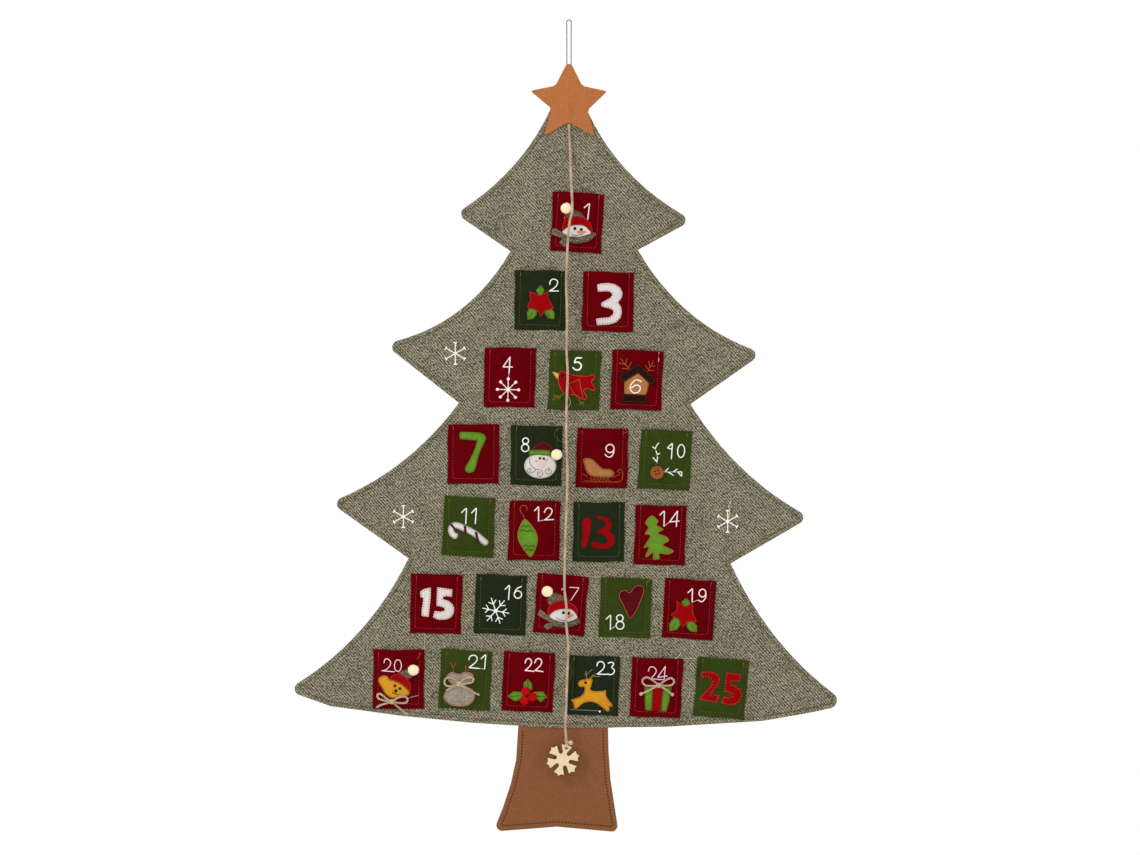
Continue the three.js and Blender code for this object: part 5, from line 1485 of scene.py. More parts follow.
def fuzz(centre, radii, count, length, gauge, seed):
    """Short fibres that stand off a ball all round."""
    draw = random.Random(seed)
    centre, radii, parts = np.array(centre), np.array(radii), []
    for _ in range(count):
        way = np.array([draw.gauss(0, 1) for _ in range(3)])
        way /= np.linalg.norm(way)
        stray = np.array([draw.gauss(0, 0.3) for _ in range(3)])
        root = centre + way * radii * 0.93
        tip = root + (way + stray) * length * draw.uniform(0.5, 1)
        parts.append(tube(np.array([root, tip]), [gauge, gauge * 0.5], 3))
    return parts


def pompom(day):
    """A pompom of clipped wool, where its node is."""
    low, high = (np.array(corner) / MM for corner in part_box(f"pompom_{day}"))
    centre, radii = (low + high) / 2, (high - low) / 2 * 0.95
    parts = [ball(centre, radii, 26, 36, bumps=0.12, grain=5)]
    parts += fuzz(centre, radii, count=1100, length=1.1, gauge=0.2, seed=day)
    sewn_on(day, f"pompom_wool_{day}", gathered(parts), clipped_wool, "pompom",
            replaces=[f"pompom_{day}"])


SNOWMEN = {
    1: {"crown": [(-.25, .05), (-.2, .19), (-.09, .24), (.03, .21), (.15, .1), (.14, .03)],
        "hat": [(-.29, -.18), (-.29, -.06), (-.24, .09), (-.13, .1), (-.03, .12), (.07, .11),
                (.15, .09), (.27, -.01), (.32, -.13), (.31, -.2), (.24, -.14), (.14, -.07),
                (-.02, -.06), (-.16, -.1)],
        "face": [(-.28, -.2), (-.16, -.08), (-.02, -.04), (.14, -.05), (.28, -.16), (.27, -.23),
                 (.19, -.27), (.05, -.31), (-.09, -.31), (-.21, -.26)],
        "scarf": [(-.16, -.3), (-.05, -.29), (.05, -.29), (.24, -.23), (.35, -.18), (.38, -.24),
                  (.26, -.36), (.06, -.42), (-.1, -.41), (-.21, -.36)],
        "tails": [[(-.49, -.15), (-.42, -.15), (-.3, -.21), (-.15, -.28), (-.16, -.37),
                   (-.27, -.34), (-.5, -.26)],
                  [(-.27, -.34), (-.16, -.33), (-.16, -.39), (-.22, -.51), (-.34, -.42)]],
        "eyes": [(-.038, -.13), (.091, -.141)],
        "nose": [(.023, -.175), (.022, -.197), (.021, -.218), (.183, -.182)],
        "mouth": [(-.106, -.237), (-.064, -.263), (0, -.269), (.079, -.249), (.139, -.222)]},
    17: {"crown": [(-.28, .13), (-.15, .23), (-.05, .21), (.07, .16), (.17, .09), (.09, .03),
                   (-.09, 0), (-.21, -.05)],
         "hat": [(-.25, -.22), (-.26, -.1), (-.21, 0), (-.09, .07), (.09, .09), (.24, .04),
                 (.34, -.06), (.35, -.21), (.31, -.16), (.22, -.08), (.05, -.08), (-.11, -.13),
                 (-.2, -.21)],
         "face": [(-.21, -.23), (-.11, -.12), (.05, -.07), (.22, -.07), (.35, -.21), (.28, -.3),
                  (.2, -.33), (.04, -.35), (-.09, -.33)],
         "scarf": [(-.14, -.31), (.04, -.34), (.2, -.32), (.35, -.25), (.4, -.29), (.39, -.35),
                   (.21, -.43), (.05, -.45), (-.15, -.43)],
         "tails": [[(-.41, -.12), (-.2, -.25), (-.14, -.33), (-.14, -.39), (-.45, -.24)],
                   [(-.22, -.38), (-.13, -.38), (-.13, -.45), (-.23, -.53), (-.32, -.45)]],
         "eyes": [(.063, -.152), (.168, -.154)],
         "nose": [(.129, -.197), (.14, -.219), (.162, -.25), (.262, -.189)],
         "mouth": [(-.069, -.261), (-.04, -.285), (.007, -.302), (.06, -.308), (.121, -.307)]},
}
for day, parts in SNOWMEN.items():
    for k, tail in enumerate(parts["tails"]):
        cut_out(day, f"scarf_tail{k + 1}", "tweed", tail, curved=0, edge="tan", gauge=0.6)
    cut_out(day, "snowman_face", "white", parts["face"], replaces=[f"snowman_{day}"])
    cut_out(day, "hat_crown", "tweed", parts["crown"], edge="brown")
    cut_out(day, "snowman_hat", "red", parts["hat"], upper=True, edge="brick", gauge=0.6)
    cut_out(day, "snowman_scarf", "tweed", parts["scarf"], upper=True, edge="brown", gauge=0.6)
    for eye in parts["eyes"]:
        bead(day, "black", eye, .03)
    sew(day, "carrot", *[[start, parts["nose"][3]] for start in parts["nose"][:3]], gauge=1.7)
    sew(day, "black", parts["mouth"], gauge=0.7, pitch=2.6)
    pompom(day)

# Poinsettias, days 2 and 19. One red felt flower over three leaves of bright green felt, each
# leaf with its vein sewn in.
POINSETTIAS = {
    2: {"flower": [(-.23, .18), (0, .1), (.15, .2), (.17, .04), (.29, -.16), (.1, -.22),
                   (.03, -.34), (-.05, -.22), (-.27, -.15), (-.2, 0)],
        "leaves": [[(0, .3), (.08, .21), (.05, .1), (-.02, .08), (-.09, .19)],
                   [(-.22, -.15), (-.06, -.18), (-.06, -.28), (-.12, -.37), (-.24, -.4),
                    (-.26, -.27)],
                   [(.12, -.17), (.24, -.15), (.3, -.26), (.29, -.37), (.18, -.36), (.09, -.26)]],
        "veins": [("olive", (0, .26), (0, .143)), ("brown", (-.222, -.345), (-.131, -.25)),
                  ("brown", (.137, -.247), (.214, -.325))]},
    19: {"flower": [(-.27, .17), (-.08, .06), (.08, .14), (.08, -.03), (.18, -.25), (-.01, -.25),
                    (-.11, -.39), (-.19, -.22), (-.38, -.14), (-.25, -.03)],
         "leaves": [[(-.07, .22), (.01, .15), (-.01, .03), (-.09, .02), (-.16, .14)],
                    [(-.28, -.15), (-.17, -.22), (-.16, -.34), (-.23, -.43), (-.36, -.46),
                     (-.38, -.32)],
                    [(-.03, -.22), (.09, -.22), (.18, -.33), (.18, -.45), (.05, -.44),
                     (-.03, -.35)]],
         "veins": [("olive", (-.07, .19), (-.08, .1)), ("brown", (-.32, -.41), (-.24, -.29)),
                   ("brown", (.06, -.3), (.13, -.4))]},
}
for day, parts in POINSETTIAS.items():
    for k, leaf in enumerate(parts["leaves"]):
        cut_out(day, f"poinsettia_leaf{k + 1}", "leaf", leaf, curved=0, edge="moss", gauge=0.5)
    cut_out(day, "poinsettia_flower", "red", parts["flower"], upper=True, curved=0, edge="brick",
            gauge=0.65, replaces=[f"poinsettia_{day}"])
    for thread, start, end in parts["veins"]:
        sew(day, thread, [start, end], gauge=0.8)

# Snowflakes, days 4 and 16. Plain embroidery in thick white floss, one dashed with a knot at
# each end, one with a small V on every arm.
NEEDLE_FLAKES = {4: ((-.028, -.243), .213, 8, 0), 16: ((-.092, -.123), .268, 6, 51)}


def ray(centre, reach, degrees):
    """The point at a distance and an angle from a centre, in shares."""
    return tuple(np.array(centre) + turned(reach, degrees))


for day, (centre, reach, arms, start) in NEEDLE_FLAKES.items():
    # Day 4's white floss is drawn pink, a painted reflection of the crimson felt round it
    shade = "pink" if day == 4 else "white"
    for arm in range(arms):
        way = start + 360 / arms * arm
        if day == 4:
            sew(day, shade, [ray(centre, .03, way), ray(centre, reach, way)], on=0, gauge=1.4,
                pitch=3.4, share=0.95)
            bead(day, shade, ray(centre, reach, way), .031, 0)
        else:
            fork = ray(centre, .14, way)
            sew(day, shade, [centre, ray(centre, reach, way)],
                *[[fork, ray(fork, .1, way + side)] for side in (-50, 50)], on=0, gauge=1.25)
    bead(day, shade, centre, .04, 0)

# Bird, day 5. Red felt with a maize felt beak, a wing sewn in rust and a dark patch at the eye.
# Its legs and toes are embroidered on the pocket in ochre floss.
cut_out(5, "bird", "red", [
    (-.3, .18), (-.2, .16), (.04, .1), (.26, .1), (.37, .15), (.43, .07), (.35, -.02),
    (.45, -.16), (.38, -.22), (.28, -.16), (.2, -.2), (.28, -.32), (.25, -.41), (.16, -.38),
    (.01, -.3), (-.13, -.31), (-.2, -.28), (-.26, -.22), (-.31, -.13), (-.335, -.04),
    (-.335, .05), (-.32, .13)], curved=0, edge="rust", gauge=0.75, replaces=["bird_5"])
cut_out(5, "beak", "maize", [(-.46, .15), (-.325, .125), (-.32, .06), (-.34, 0)], upper=True,
        curved=0)
sew(5, "rust", [(-.105, -.08), (.1, .02)], [(.1, .02), (.13, -.145), (.19, -.36)],
    [(-.105, -.08), (-.016, -.25), (.12, -.38)], gauge=0.65)
bead(5, "wine", (-.24, .082), .045)
bead(5, "black", (-.246, .084), .024, 2)
sew(5, "ochre", [(-.178, -.27), (-.296, -.342), (-.42, -.413)], [(-.3, -.34), (-.407, -.308)],
    [(-.3, -.34), (-.418, -.36)], [(-.25, -.32), (-.317, -.42)],
    [(.106, -.379), (.14, -.438), (.195, -.484)], [(.14, -.438), (.21, -.44)],
    [(.14, -.438), (.12, -.49)], on=0, gauge=0.55)

# Birdhouse, day 6. A tan felt front under a dark brown felt roof, with a dark base board over its
# foot, all outlined in brown. Bare twigs are sewn in rust on both sides of the roof.
cut_out(6, "house_front", "tan", [(-.25, -.03), (.02, .16), (.25, -.04), (.19, -.33),
                                  (-.24, -.33)], curved=0, edge="brown", gauge=0.6,
        replaces=["birdhouse_6"])
cut_out(6, "house_base", "brown", [(-.28, -.285), (.21, -.285), (.2, -.455), (-.28, -.455)],
        upper=True, curved=0, edge="brown", gauge=0.5)
cut_out(6, "house_roof", "brown", [(.02, .325), (.385, .01), (.285, -.085), (.015, .14),
                                   (-.27, -.055), (-.385, .05)], upper=True, curved=0,
        edge="brown", gauge=0.5)
sew(6, "rust", [(-.344, .419), (-.26, .31), (-.158, .214)], [(-.369, .325), (-.247, .302)],
    [(-.223, .417), (-.24, .305)], [(-.128, .356), (-.176, .25)], [(-.304, .219), (-.175, .213)],
    [(.313, .386), (.255, .29), (.208, .177)], [(.215, .389), (.244, .293)],
    [(.348, .297), (.25, .285)], [(.333, .212), (.214, .2)], [(.154, .301), (.205, .23)],
    on=0, gauge=0.75)

# Gnome, day 8. A white felt beard and moustache with curls sewn in mauve, a burgundy cap with a
# bright green band and a wool pompom, and a round nose of pale floss.
cut_out(8, "gnome_beard", "white", oval((.08, -.21), .32, .25)[:-1], edge="mauve", gauge=0.4,
        replaces=["gnome_8"])
cut_out(8, "gnome_cap", "burgundy", [(-.12, .06), (-.09, .11), (-.02, .21), (.12, .27),
                                     (.26, .22), (.34, .09), (.3, .04), (.1, .06)], curved=3,
        edge="brick", gauge=0.4)
cut_out(8, "gnome_band", "leaf", [(-.16, .1), (-.07, .11), (.03, .11), (.15, .11), (.27, .1),
                                  (.3, 0), (.18, 0), (.06, .01), (-.05, .01), (-.14, -.01)],
        upper=True, curved=0, edge="moss")
for eye in ((.072, -.057), (.15, -.064)):
    bead(8, "black", eye, .026)
for cheek in ((0, -.11), (.21, -.09)):
    bead(8, "blush", cheek, .022)
bead(8, "flesh", (.113, -.156), .083)
sew(8, "mauve", [(-.14, -.06), (-.119, -.176), (-.03, -.266), (.07, -.286)],
    [(0, -.287), (-.062, -.333), (-.128, -.35), (-.173, -.318), (-.157, -.268), (-.112, -.267),
     (-.104, -.308), (-.136, -.322)],
    [(.098, -.286), (.134, -.347), (.105, -.413), (.047, -.414), (.022, -.356), (.054, -.323),
     (.082, -.347), (.071, -.375)],
    [(.227, -.237), (.303, -.303), (.279, -.361), (.212, -.362), (.175, -.321), (.203, -.274),
     (.248, -.283), (.248, -.323)], gauge=0.7, pitch=1.8)
pompom(8)

# Sleigh, day 9. Tan felt with a dotted brown edge. Its two runners are sewn in thin rust thread
# and end in a curl in front. A row of small loops hangs under it in place of stays.
cut_out(9, "sleigh", "tan", [
    (-.38, -.05), (-.33, -.01), (-.2, -.03), (-.08, -.13), (.02, -.21), (.17, -.22),
    (.25, -.29), (.21, -.37), (.08, -.39), (-.2, -.37), (-.31, -.27), (-.36, -.12)],
        edge="brown", gauge=0.8, replaces=["sleigh_9"])
loops = [(-.22 + .07 * k + step, height) for k in range(6)
         for step, height in ((0, -.385), (.012, -.445), (.046, -.448))]
sew(9, "rust", [(-.337, -.466), (-.088, -.473), (.1, -.475), (.194, -.475), (.3, -.468),
                 (.376, -.449), (.415, -.41), (.423, -.356), (.42, -.28), (.385, -.225),
                 (.33, -.225), (.315, -.26), (.345, -.275)],
    [(-.377, -.33), (-.32, -.345), (-.29, -.39)], [(.22, -.39), (.258, -.37), (.34, -.328),
                                                   (.372, -.275)],
    loops, on=0, gauge=0.55)

# Candy cane, day 11. A white felt cane with a brown edge stitch, and three broad stripes sewn
# across it in dark red.
CANE_STRIPES = [((-.352, .036), (-.249, -.078)), ((-.073, .018), (-.052, -.137)),
                ((.15, -.1), (.202, -.282))]
STRIPE_STEP = np.array([.014, .004])
cane = smooth_line([(-.24, -.2), (-.31, -.16), (-.345, -.09), (-.33, -.02), (-.26, .02),
                    (-.14, -.01), (.13, -.13), (.36, -.31)], 5)
ahead = np.gradient(cane, axis=0)
ahead /= np.linalg.norm(ahead, axis=1, keepdims=True)
beside = np.column_stack([-ahead[:, 1], ahead[:, 0]]) * .062
foot, heel = cane[-1] + ahead[-1] * .04, cane[0] - ahead[0] * .03
cut_out(11, "candy_cane", "white", np.vstack([
    cane + beside, foot + beside[-1] * .5, foot - beside[-1] * .5, (cane - beside)[::-1],
    heel - beside[0] * .5, heel + beside[0] * .5]), curved=0, edge="brown", gauge=0.6,
        replaces=["candy_cane_11"])
for stripe in np.array(CANE_STRIPES):
    sew(11, "wine", *[stripe + STRIPE_STEP * k for k in (-1, 0, 1)], gauge=1.3)

# Bauble, day 12. A long drop of bright green felt with a rust edge and wavy lines sewn across,
# under a hook of floss.
cut_out(12, "bauble", "leaf", [(-.2, .23), (-.03, .08), (.07, -.1), (.06, -.3), (-.05, -.53),
                               (-.2, -.39), (-.32, -.18), (-.32, 0)],
        edge="rust", gauge=0.9, replaces=["bauble_12"])
for height, left, right in ((.085, -.26, -.08), (-.005, -.29, 0), (-.31, -.22, .03),
                            (-.385, -.17, .01)):
    sew(12, "moss", [(left + (right - left) * k / 4, height - .024 * (-1)**k)
                     for k in range(5)], gauge=0.9)
sew(12, "rust", [(-.199, .232), (-.22, .293), (-.277, .368), (-.296, .445), (-.255, .496),
                 (-.189, .498), (-.151, .449), (-.17, .399)], on=0, gauge=0.65)

# Fir tree, day 14. Bright green felt with rounded boughs, outlined in rust.
cut_out(14, "fir_tree", "leaf", [
    (-.19, .39), (-.05, .28), (-.08, .2), (.06, .12), (-.04, .04), (.12, -.02), (.18, -.1),
    (.07, -.19), (.26, -.28), (.27, -.33), (.16, -.38), (0, -.37), (.01, -.47), (-.12, -.49),
    (-.13, -.36), (-.24, -.45), (-.28, -.42), (-.22, -.25), (-.32, -.26), (-.2, -.02),
    (-.31, .01), (-.25, .14), (-.31, .24)], edge="rust", gauge=0.95, replaces=["fir_tree_14"])

# Heart, day 18. Burgundy felt with a tight rust edge.
cut_out(18, "heart", "burgundy", [
    (.1, -.24), (.085, -.22), (-.05, .03), (-.14, .19), (-.15, .27), (-.1, .35), (0, .37),
    (.07, .32), (.15, .44), (.24, .48), (.35, .44), (.36, .32), (.31, .16), (.22, -.06),
    (.115, -.222)], edge="rust", gauge=0.9, replaces=["heart_18"])

# Teddy head, day 20. Golden felt under a red cap with a tweed crown and a wool pompom. The eyes
# and nose are beads of floss, and a bow of pale twine is tied below the chin.
BOW_CORD = 2.6
BOW_KNOT = 3
TAIL_KNOT = 2.1
LOOP_RISE = 0.9


def tied_bow(day, name, knot, loops, tails, on, replaces, knotted=False):
    """A bow of twine: two loops and two frayed or knotted tails out of one knot."""
    lift = LEVELS[on] + 0.1 + BOW_CORD / 2
    parts = []
    for k, line in enumerate(loops + tails):
        shares = [knot] + line + ([knot] if k < len(loops) else [])
        flat = smooth_line(in_shares(day, shares), 6)
        height = lifted(day, lift)(flat)
        if k < len(loops):
            height = height - LOOP_RISE * np.sin(math.pi * np.linspace(0, 1, len(flat)))
        strand = np.column_stack([flat[:, 0], height, flat[:, 1]])
        parts += laid_plies(strand, BOW_CORD, 2, 6)
        if k >= len(loops):
            parts += loose_hairs([strand[-1]], 0.7, count=14, seed=day + k, length=2.6)
            if knotted:
                parts += wrapped_ball(strand[-1] - (0, 0.3, 0), TAIL_KNOT, 0.55, 3)
    x, y, z = spot(day, knot, lift)
    parts += wrapped_ball((x, y - 0.7, z), BOW_KNOT, 0.65, 3)
    sewn_on(day, f"{name}_{day}", gathered(parts), pale_jute, "twine", replaces=replaces)


pale_jute = jute("pale_jute_twine", 0xEFD9BA, 0xC4A688)
cut_out(20, "teddy_head", "golden", [
    (-.4, -.05), (-.38, .03), (-.29, .07), (-.21, .05), (-.18, 0), (-.06, -.03), (.07, -.09),
    (.23, -.24), (.16, -.34), (.03, -.36), (-.12, -.38), (-.25, -.3), (-.31, -.2)],
        edge="brown", gauge=0.6, replaces=["teddy_20"])
cut_out(20, "cap_crown", "tweed", [(.0, .1), (.03, .14), (.18, .21), (.27, .09), (.21, .01),
                                   (.1, .04)], edge="brown", gauge=0.5)
cut_out(20, "cap", "red", [(-.18, .02), (-.08, .1), (.02, .12), (.15, .06), (.24, -.06),
                           (.26, -.15), (.24, -.23), (.07, -.09), (-.06, -.03)], upper=True,
        edge="brick", gauge=0.6)
bead(20, "black", (-.065, -.125), .028)
bead(20, "black", (.035, -.18), .028)
bead(20, "black", (-.045, -.225), .032)
sew(20, "black", [(-.045, -.23), (-.055, -.28)], [(-.12, -.25), (-.085, -.287), (-.055, -.28),
                                                  (-.02, -.305), (.02, -.305)], gauge=0.8)
tied_bow(20, "bow", (-.124, -.447),
         [[(-.233, -.383), (-.351, -.294), (-.417, -.323), (-.386, -.389), (-.274, -.425)],
          [(0, -.362), (.114, -.335), (.19, -.375), (.166, -.455), (.05, -.472)]],
         [[(-.22, -.48), (-.33, -.515), (-.425, -.565)], [(-.04, -.52), (.06, -.6),
                                                          (.185, -.7)]], 1, ["bow_20"])
pompom(20)

# Sack, day 21. Grey loosely woven linen, gathered at the neck by a bow of twine, with frayed
# threads of rust floss above its mouth.


def loose_linen(name, pale, dark):
    """Loose linen: dull grey yarns with small open gaps, so it reads as a grid. The real yarns
    are about 1.2 mm apart. They are drawn 2.2 mm apart, because finer ones wouldn't show."""
    material, tree, place = blank_material(name)
    yarns = [add(tree, "TexWave", {"Vector": place, "Scale": BAND_SCALE / (2.2 * MM),
                                   "Distortion": 1.5, "Detail": 1, "Detail Scale": 2},
                 wave_type="BANDS", bands_direction=way).outputs["Fac"] for way in ("X", "Z")]
    weave = add(tree, "Math", {0: yarns[0], 1: yarns[1]}, operation="MAXIMUM")
    slub = add(tree, "TexNoise", {"Vector": place, "Scale": 1 / (4 * MM), "Detail": 3})
    both = add(tree, "Math", {0: weave.outputs[0], 1: slub.outputs[0]}, operation="MULTIPLY")
    share = add(tree, "MapRange", {0: both.outputs[0], 1: 0.2, 2: 0.6})
    colour = add(tree, "Mix", {0: share.outputs[0], 6: linear(dark), 7: linear(pale)},
                 data_type="RGBA")
    bump = add(tree, "Bump", {"Height": weave.outputs[0], "Strength": 0.6, "Distance": 0.3 * MM})
    surface = add(tree, "BsdfPrincipled", {
        "Base Color": colour.outputs[2], "Roughness": 0.9, "Specular IOR Level": 0.15,
        "Normal": bump.outputs[0]})
    add(tree, "OutputMaterial", {"Surface": surface.outputs[0]})
    return material


felts["sacking"] = (loose_linen("loose_grey_linen", 0xC2B5A6, 0x92867A), "sack_linen")
cut_out(21, "sack", "sacking", [
    (-.4, -.29), (-.34, -.2), (-.24, -.12), (-.33, -.05), (-.37, .06), (-.29, .14), (-.19, .13),
    (-.11, .12), (-.03, .16), (.11, .15), (.17, .08), (.13, -.03), (.02, -.11), (.14, -.17),
    (.21, -.27), (.19, -.4), (.08, -.51), (-.1, -.54), (-.29, -.51), (-.41, -.4)],
        edge="rust", gauge=0.9, replaces=["sack_21"])
sew(21, "rust", [(-.311, .334), (-.253, .242), (-.248, .15)], [(-.203, .328), (-.253, .242)],
    [(0, .289), (-.011, .164)], [(.063, .243), (.023, .158)], on=0, gauge=0.8)
tied_bow(21, "bow", (-.122, -.083),
         [[(-.227, .011), (-.345, .037), (-.411, -.028), (-.39, -.115), (-.302, -.138)],
          [(-.012, .031), (.103, .062), (.163, .029), (.138, -.031), (.035, -.061)]],
         [[(-.2, -.13), (-.3, -.185), (-.363, -.225)], [(.066, -.168), (.203, -.243),
                                                        (.292, -.277)]], 1, ["bow_21"])

# Holly, day 22. Three leaves of bright green felt with a vein sewn in each, and three felted red
# berries in the middle.
HOLLY_LEAVES = [
    [(-.01, .06), (.07, -.02), (.09, -.15), (.01, -.16), (-.09, -.11), (-.09, -.02)],
    [(-.4, -.31), (-.29, -.21), (-.08, -.2), (-.06, -.3), (-.1, -.35), (-.24, -.4)],
    [(.39, -.28), (.31, -.18), (.12, -.19), (.05, -.27), (.2, -.34), (.27, -.39)]]
HOLLY_VEINS = [[(-.01, .03), (0, -.1)], [(-.36, -.31), (-.17, -.28)], [(.35, -.28), (.19, -.27)]]
BERRIES = [(-.04, -.184), (-.058, -.367), (.103, -.29)]
BERRY_RADIUS = 5.51
BERRY_DEPTH = 6.1

for k, leaf in enumerate(HOLLY_LEAVES):
    cut_out(22, f"holly_leaf{k + 1}", "leaf", leaf, curved=0, edge="moss", gauge=0.45,
            replaces=["holly_22"] if k == 0 else ())
sew(22, "moss", *HOLLY_VEINS, gauge=0.8)
berry_parts = []
for k, share in enumerate(BERRIES):
    centre = spot(22, share, BASE_TOP + BERRY_DEPTH / 2 - 1)
    radii = (BERRY_RADIUS, BERRY_DEPTH / 2 * 0.95, BERRY_RADIUS)
    berry_parts.append(ball(centre, radii, 16, 24, bumps=0.1, grain=3))
    berry_parts += fuzz(centre, radii, count=220, length=0.5, gauge=0.1, seed=k)
sewn_on(22, "holly_berries_22", gathered(berry_parts), *felts["berry"])

# Reindeer, day 23. Golden felt with a rust edge stitch. The antlers are sewn above its head in
# tan floss.
cut_out(23, "reindeer", "golden", [
    (-.31, .04), (-.26, .1), (-.16, .13), (-.03, .14), (-.04, .02), (-.06, -.06), (0, -.1),
    (.21, -.09), (.25, -.07), (.26, -.18), (.32, -.28), (.39, -.36), (.38, -.41), (.33, -.4),
    (.34, -.47), (.3, -.51), (.21, -.44), (.08, -.35), (-.06, -.32), (-.2, -.36), (-.31, -.47),
    (-.37, -.46), (-.38, -.4), (-.4, -.35), (-.43, -.3), (-.27, -.23), (-.19, -.15),
    (-.18, -.03), (-.27, -.03)], curved=3, edge="rust", gauge=0.8, replaces=["reindeer_23"])
bead(23, "black", (-.16, .06), .028)
sew(23, "tan", [(-.136, .136), (-.147, .202), (-.108, .262), (-.039, .326)],
    [(-.147, .202), (-.182, .234)], [(-.15, .21), (-.164, .288)],
    [(-.084, .15), (-.014, .19), (.05, .254)], [(-.014, .19), (.127, .193)],
    [(-.05, .17), (-.024, .223)], on=0, gauge=0.95)
bead(23, "white", (.146, -.513), .02, 0)

# Gift, day 24. A bright green felt box with a red felt ribbon and a big bow of twine.
cut_out(24, "gift", "leaf", [(-.24, .02), (.3, .03), (.27, -.24), (.22, -.47), (-.2, -.46),
                             (-.22, -.23)], curved=0, edge="moss", gauge=0.55,
        replaces=["gift_24"])
cut_out(24, "ribbon", "red", [(-.07, -.01), (.13, 0), (.12, -.23), (.11, -.46), (-.07, -.47),
                              (-.075, -.23)], upper=True, curved=0)
sew(24, "wine", *[[(side + way * .012, -.04 - .055 * k), (side - way * .03, -.04 - .055 * k)]
                  for k in range(8) for side, way in ((.12, 1), (-.072, -1))], on=2, gauge=0.8)
tied_bow(24, "bow", (.04, .058),
         [[(-.072, .144), (-.192, .205), (-.273, .172), (-.286, .1), (-.217, .044),
           (-.083, .039)],
          [(.144, .147), (.257, .211), (.335, .178), (.329, .105), (.248, .061)]],
         [[(-.113, -.027), (-.226, -.096), (-.304, -.133)], [(.1, .03), (.186, -.02),
                                                             (.323, -.115)]], 2, ["bow_24"],
         knotted=True)

# Button and sprigs, day 10. A cast brown button with four holes and a raised rim, and white leaf
# stitches in two sprigs round it.
BUTTON_RADIUS = 8
BUTTON_THICKNESS = 2.2
BUTTON_RIM = 1.8
HOLE_RADIUS = 1.1
HOLE_REACH = 2.55
BUTTON_TURN = 20
RIM_POINTS = 40
HOLE_POINTS = 14


def moulded_resin(name, pale, dark):
    """Polyester resin button: satin, with faint darker swirls from the casting."""
    material, tree, place = blank_material(name)
    swirl = add(tree, "TexNoise", {"Vector": place, "Scale": 1 / (5 * MM), "Detail": 4,
                                   "Distortion": 3})
    colour = add(tree, "Mix", {0: swirl.outputs[0], 6: linear(dark), 7: linear(pale)},
                 data_type="RGBA")
    rough = add(tree, "MapRange", {0: swirl.outputs[0], 3: 0.32, 4: 0.48})
    surface = add(tree, "BsdfPrincipled", {
        "Base Color": colour.outputs[2], "Roughness": rough.outputs[0],
        "Specular IOR Level": 0.25})
    add(tree, "OutputMaterial", {"Surface": surface.outputs[0]})
    return material


low, high = (np.array(corner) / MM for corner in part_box("button_10"))
middle = (low + high)[[0, 2]] / 2
button_face = high[1] - BUTTON_THICKNESS
ways = [360 * k / RIM_POINTS for k in range(RIM_POINTS)]
rim = [middle + turned(BUTTON_RADIUS, way) for way in ways]
hole_middles = [middle + turned(HOLE_REACH, BUTTON_TURN + 45 + 90 * k) for k in range(4)]
holes = [[at + turned(HOLE_RADIUS, -360 * k / HOLE_POINTS) for k in range(HOLE_POINTS)]
         for at in hole_middles]
button_parts = [around(rim, BUTTON_THICKNESS, button_face, 0.3, holes)]
crests = [middle + turned(BUTTON_RADIUS - BUTTON_RIM / 2, way) for way in ways]
button_parts.append(closed_tube([(x, button_face, z) for x, z in crests], BUTTON_RIM / 2, 10))
sewn_on(10, "button_resin_10", gathered(button_parts),
        moulded_resin("cast_resin", 0xBC6428, 0x8A4414), "button", replaces=["button_10"], sharp=35)
# Black balls sunk a little under the button's face fill its four holes. They stand for the thread
# that holds the button on, and their black is painted shade for the holes.
THREAD_SHADE_SINK = 0.7
THREAD_SHADE_RADII = (HOLE_RADIUS + 0.25, 0.6, HOLE_RADIUS + 0.25)
thread_parts[10, "stitches", "black"] = [ball((x, button_face + THREAD_SHADE_SINK, z), THREAD_SHADE_RADII)
                                         for x, z in hole_middles]
SPRIGS = [((-.164, -.048), (-.249, .039)), ((-.164, -.048), (-.15, .053)),
          ((-.156, .099), (-.194, .163)), ((-.156, .099), (-.113, .13)),
          ((-.212, .212), (-.269, .249)), ((-.212, .212), (-.188, .275)),
          ((-.188, .275), (-.146, .336)), ((.009, -.234), (.079, -.158)),
          ((.067, -.234), (.188, -.302)), ((.175, -.231), (.259, -.164)),
          ((.266, -.226), (.349, -.217)), ((.349, -.217), (.346, -.309)),
          ((.346, -.309), (.266, -.226))]
sew(10, "white", *SPRIGS, on=0, gauge=1.35, pitch=6, share=1.05)
sew(10, "white", [(-.16, -.08), (-.16, 0), (-.165, .07), (-.19, .16), (-.21, .22)],
    [(-.02, -.24), (.1, -.235), (.2, -.23), (.3, -.22)], on=0, gauge=0.5)

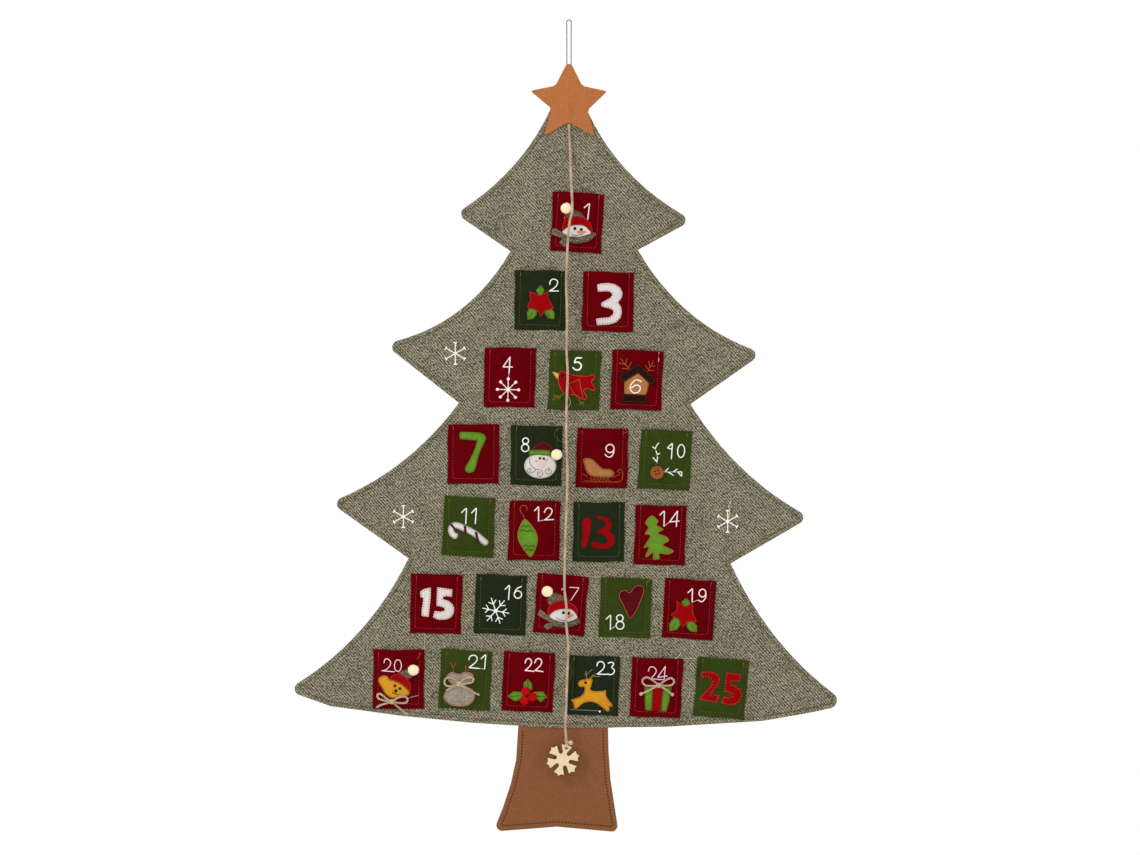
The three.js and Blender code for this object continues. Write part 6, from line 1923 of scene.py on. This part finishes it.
# Loose ends. Where a seam stops the maker left the thread's end uncut, so thin ends curl beside
# many of the pockets. Day 19's felt is turned over in a narrow fold along its right side, and day
# 25's along the top of its left side.
LOOSE_ENDS = [
    (1, "rust", [(.39, .53), (.43, .6), (.46, .57), (.5, .61)]),
    (2, "olive", [(.47, .22), (.55, .18), (.53, .1), (.57, .03)]),
    (6, "white", [(.415, .58), (.417, .555)]), (6, "white", [(.418, .46), (.418, .39)]),
    (6, "ochre", [(.5, .06), (.58, .14), (.68, .23)]),
    (8, "olive", [(.47, .546), (.384, .52), (.357, .448), (.384, .36), (.51, .27)]),
    (9, "rust", [(.4, .59), (.47, .58), (.48, .52), (.43, .51)]),
    (18, "ochre", [(.41, .53), (.48, .6), (.55, .58)]),
    (20, "chalk", [(.215, -.373), (.31, -.34), (.4, -.318)]),
    (20, "rust", [(.428, .528), (.4, .47), (.367, .413)]),
    (23, "olive", [(-.416, .528), (-.47, .364), (-.438, .24), (-.489, .085)]),
    (24, "white", [(.357, .6), (.41, .65), (.455, .707)]),
    (5, "chalk", [(-.105, -.34), (-.06, -.43), (-.075, -.5), (-.12, -.57)]),
]
for day, thread, line in LOOSE_ENDS:
    sew(day, thread, line, on=0, gauge=0.5, pitch=1.6, share=1.4)
sew(23, "chalk", [(-.447, -.494), (-.3, -.5), (-.1, -.498), (.126, -.502)], on=0, gauge=0.3,
    pitch=1.6, share=1.4)
cut_out(25, "felt_fold", "olive", [(-.5, .585), (-.5, .18), (-.475, .2), (-.455, .4),
                                   (-.445, .58)], curved=0)
cut_out(19, "felt_fold", "crimson", [(.508, .57), (.46, .56), (.466, .2), (.458, -.2),
                                     (.47, -.56), (.508, -.57)], curved=0)
# The wine and moss lines along the folds' inner edges are painted shadow: dark thread laid where
# each fold casts its shade
sew(25, "moss", [(-.435, .57), (-.445, .4), (-.462, .2)], on=0, gauge=0.8)
sew(19, "wine", [(.45, .56), (.456, .2), (.448, -.2), (.46, -.56)], on=0, gauge=0.8)

# Threads of the figures, one piece for each colour on a pocket
for (day, name, thread), parts in thread_parts.items():
    sewn_on(day, f"{name}_{day}_{thread}", gathered(parts), threads[thread], "cord")

# The pieces sewn on each pocket are listed in pocket_parts; nothing further is done with them here.
for day, parts in pocket_parts.items():
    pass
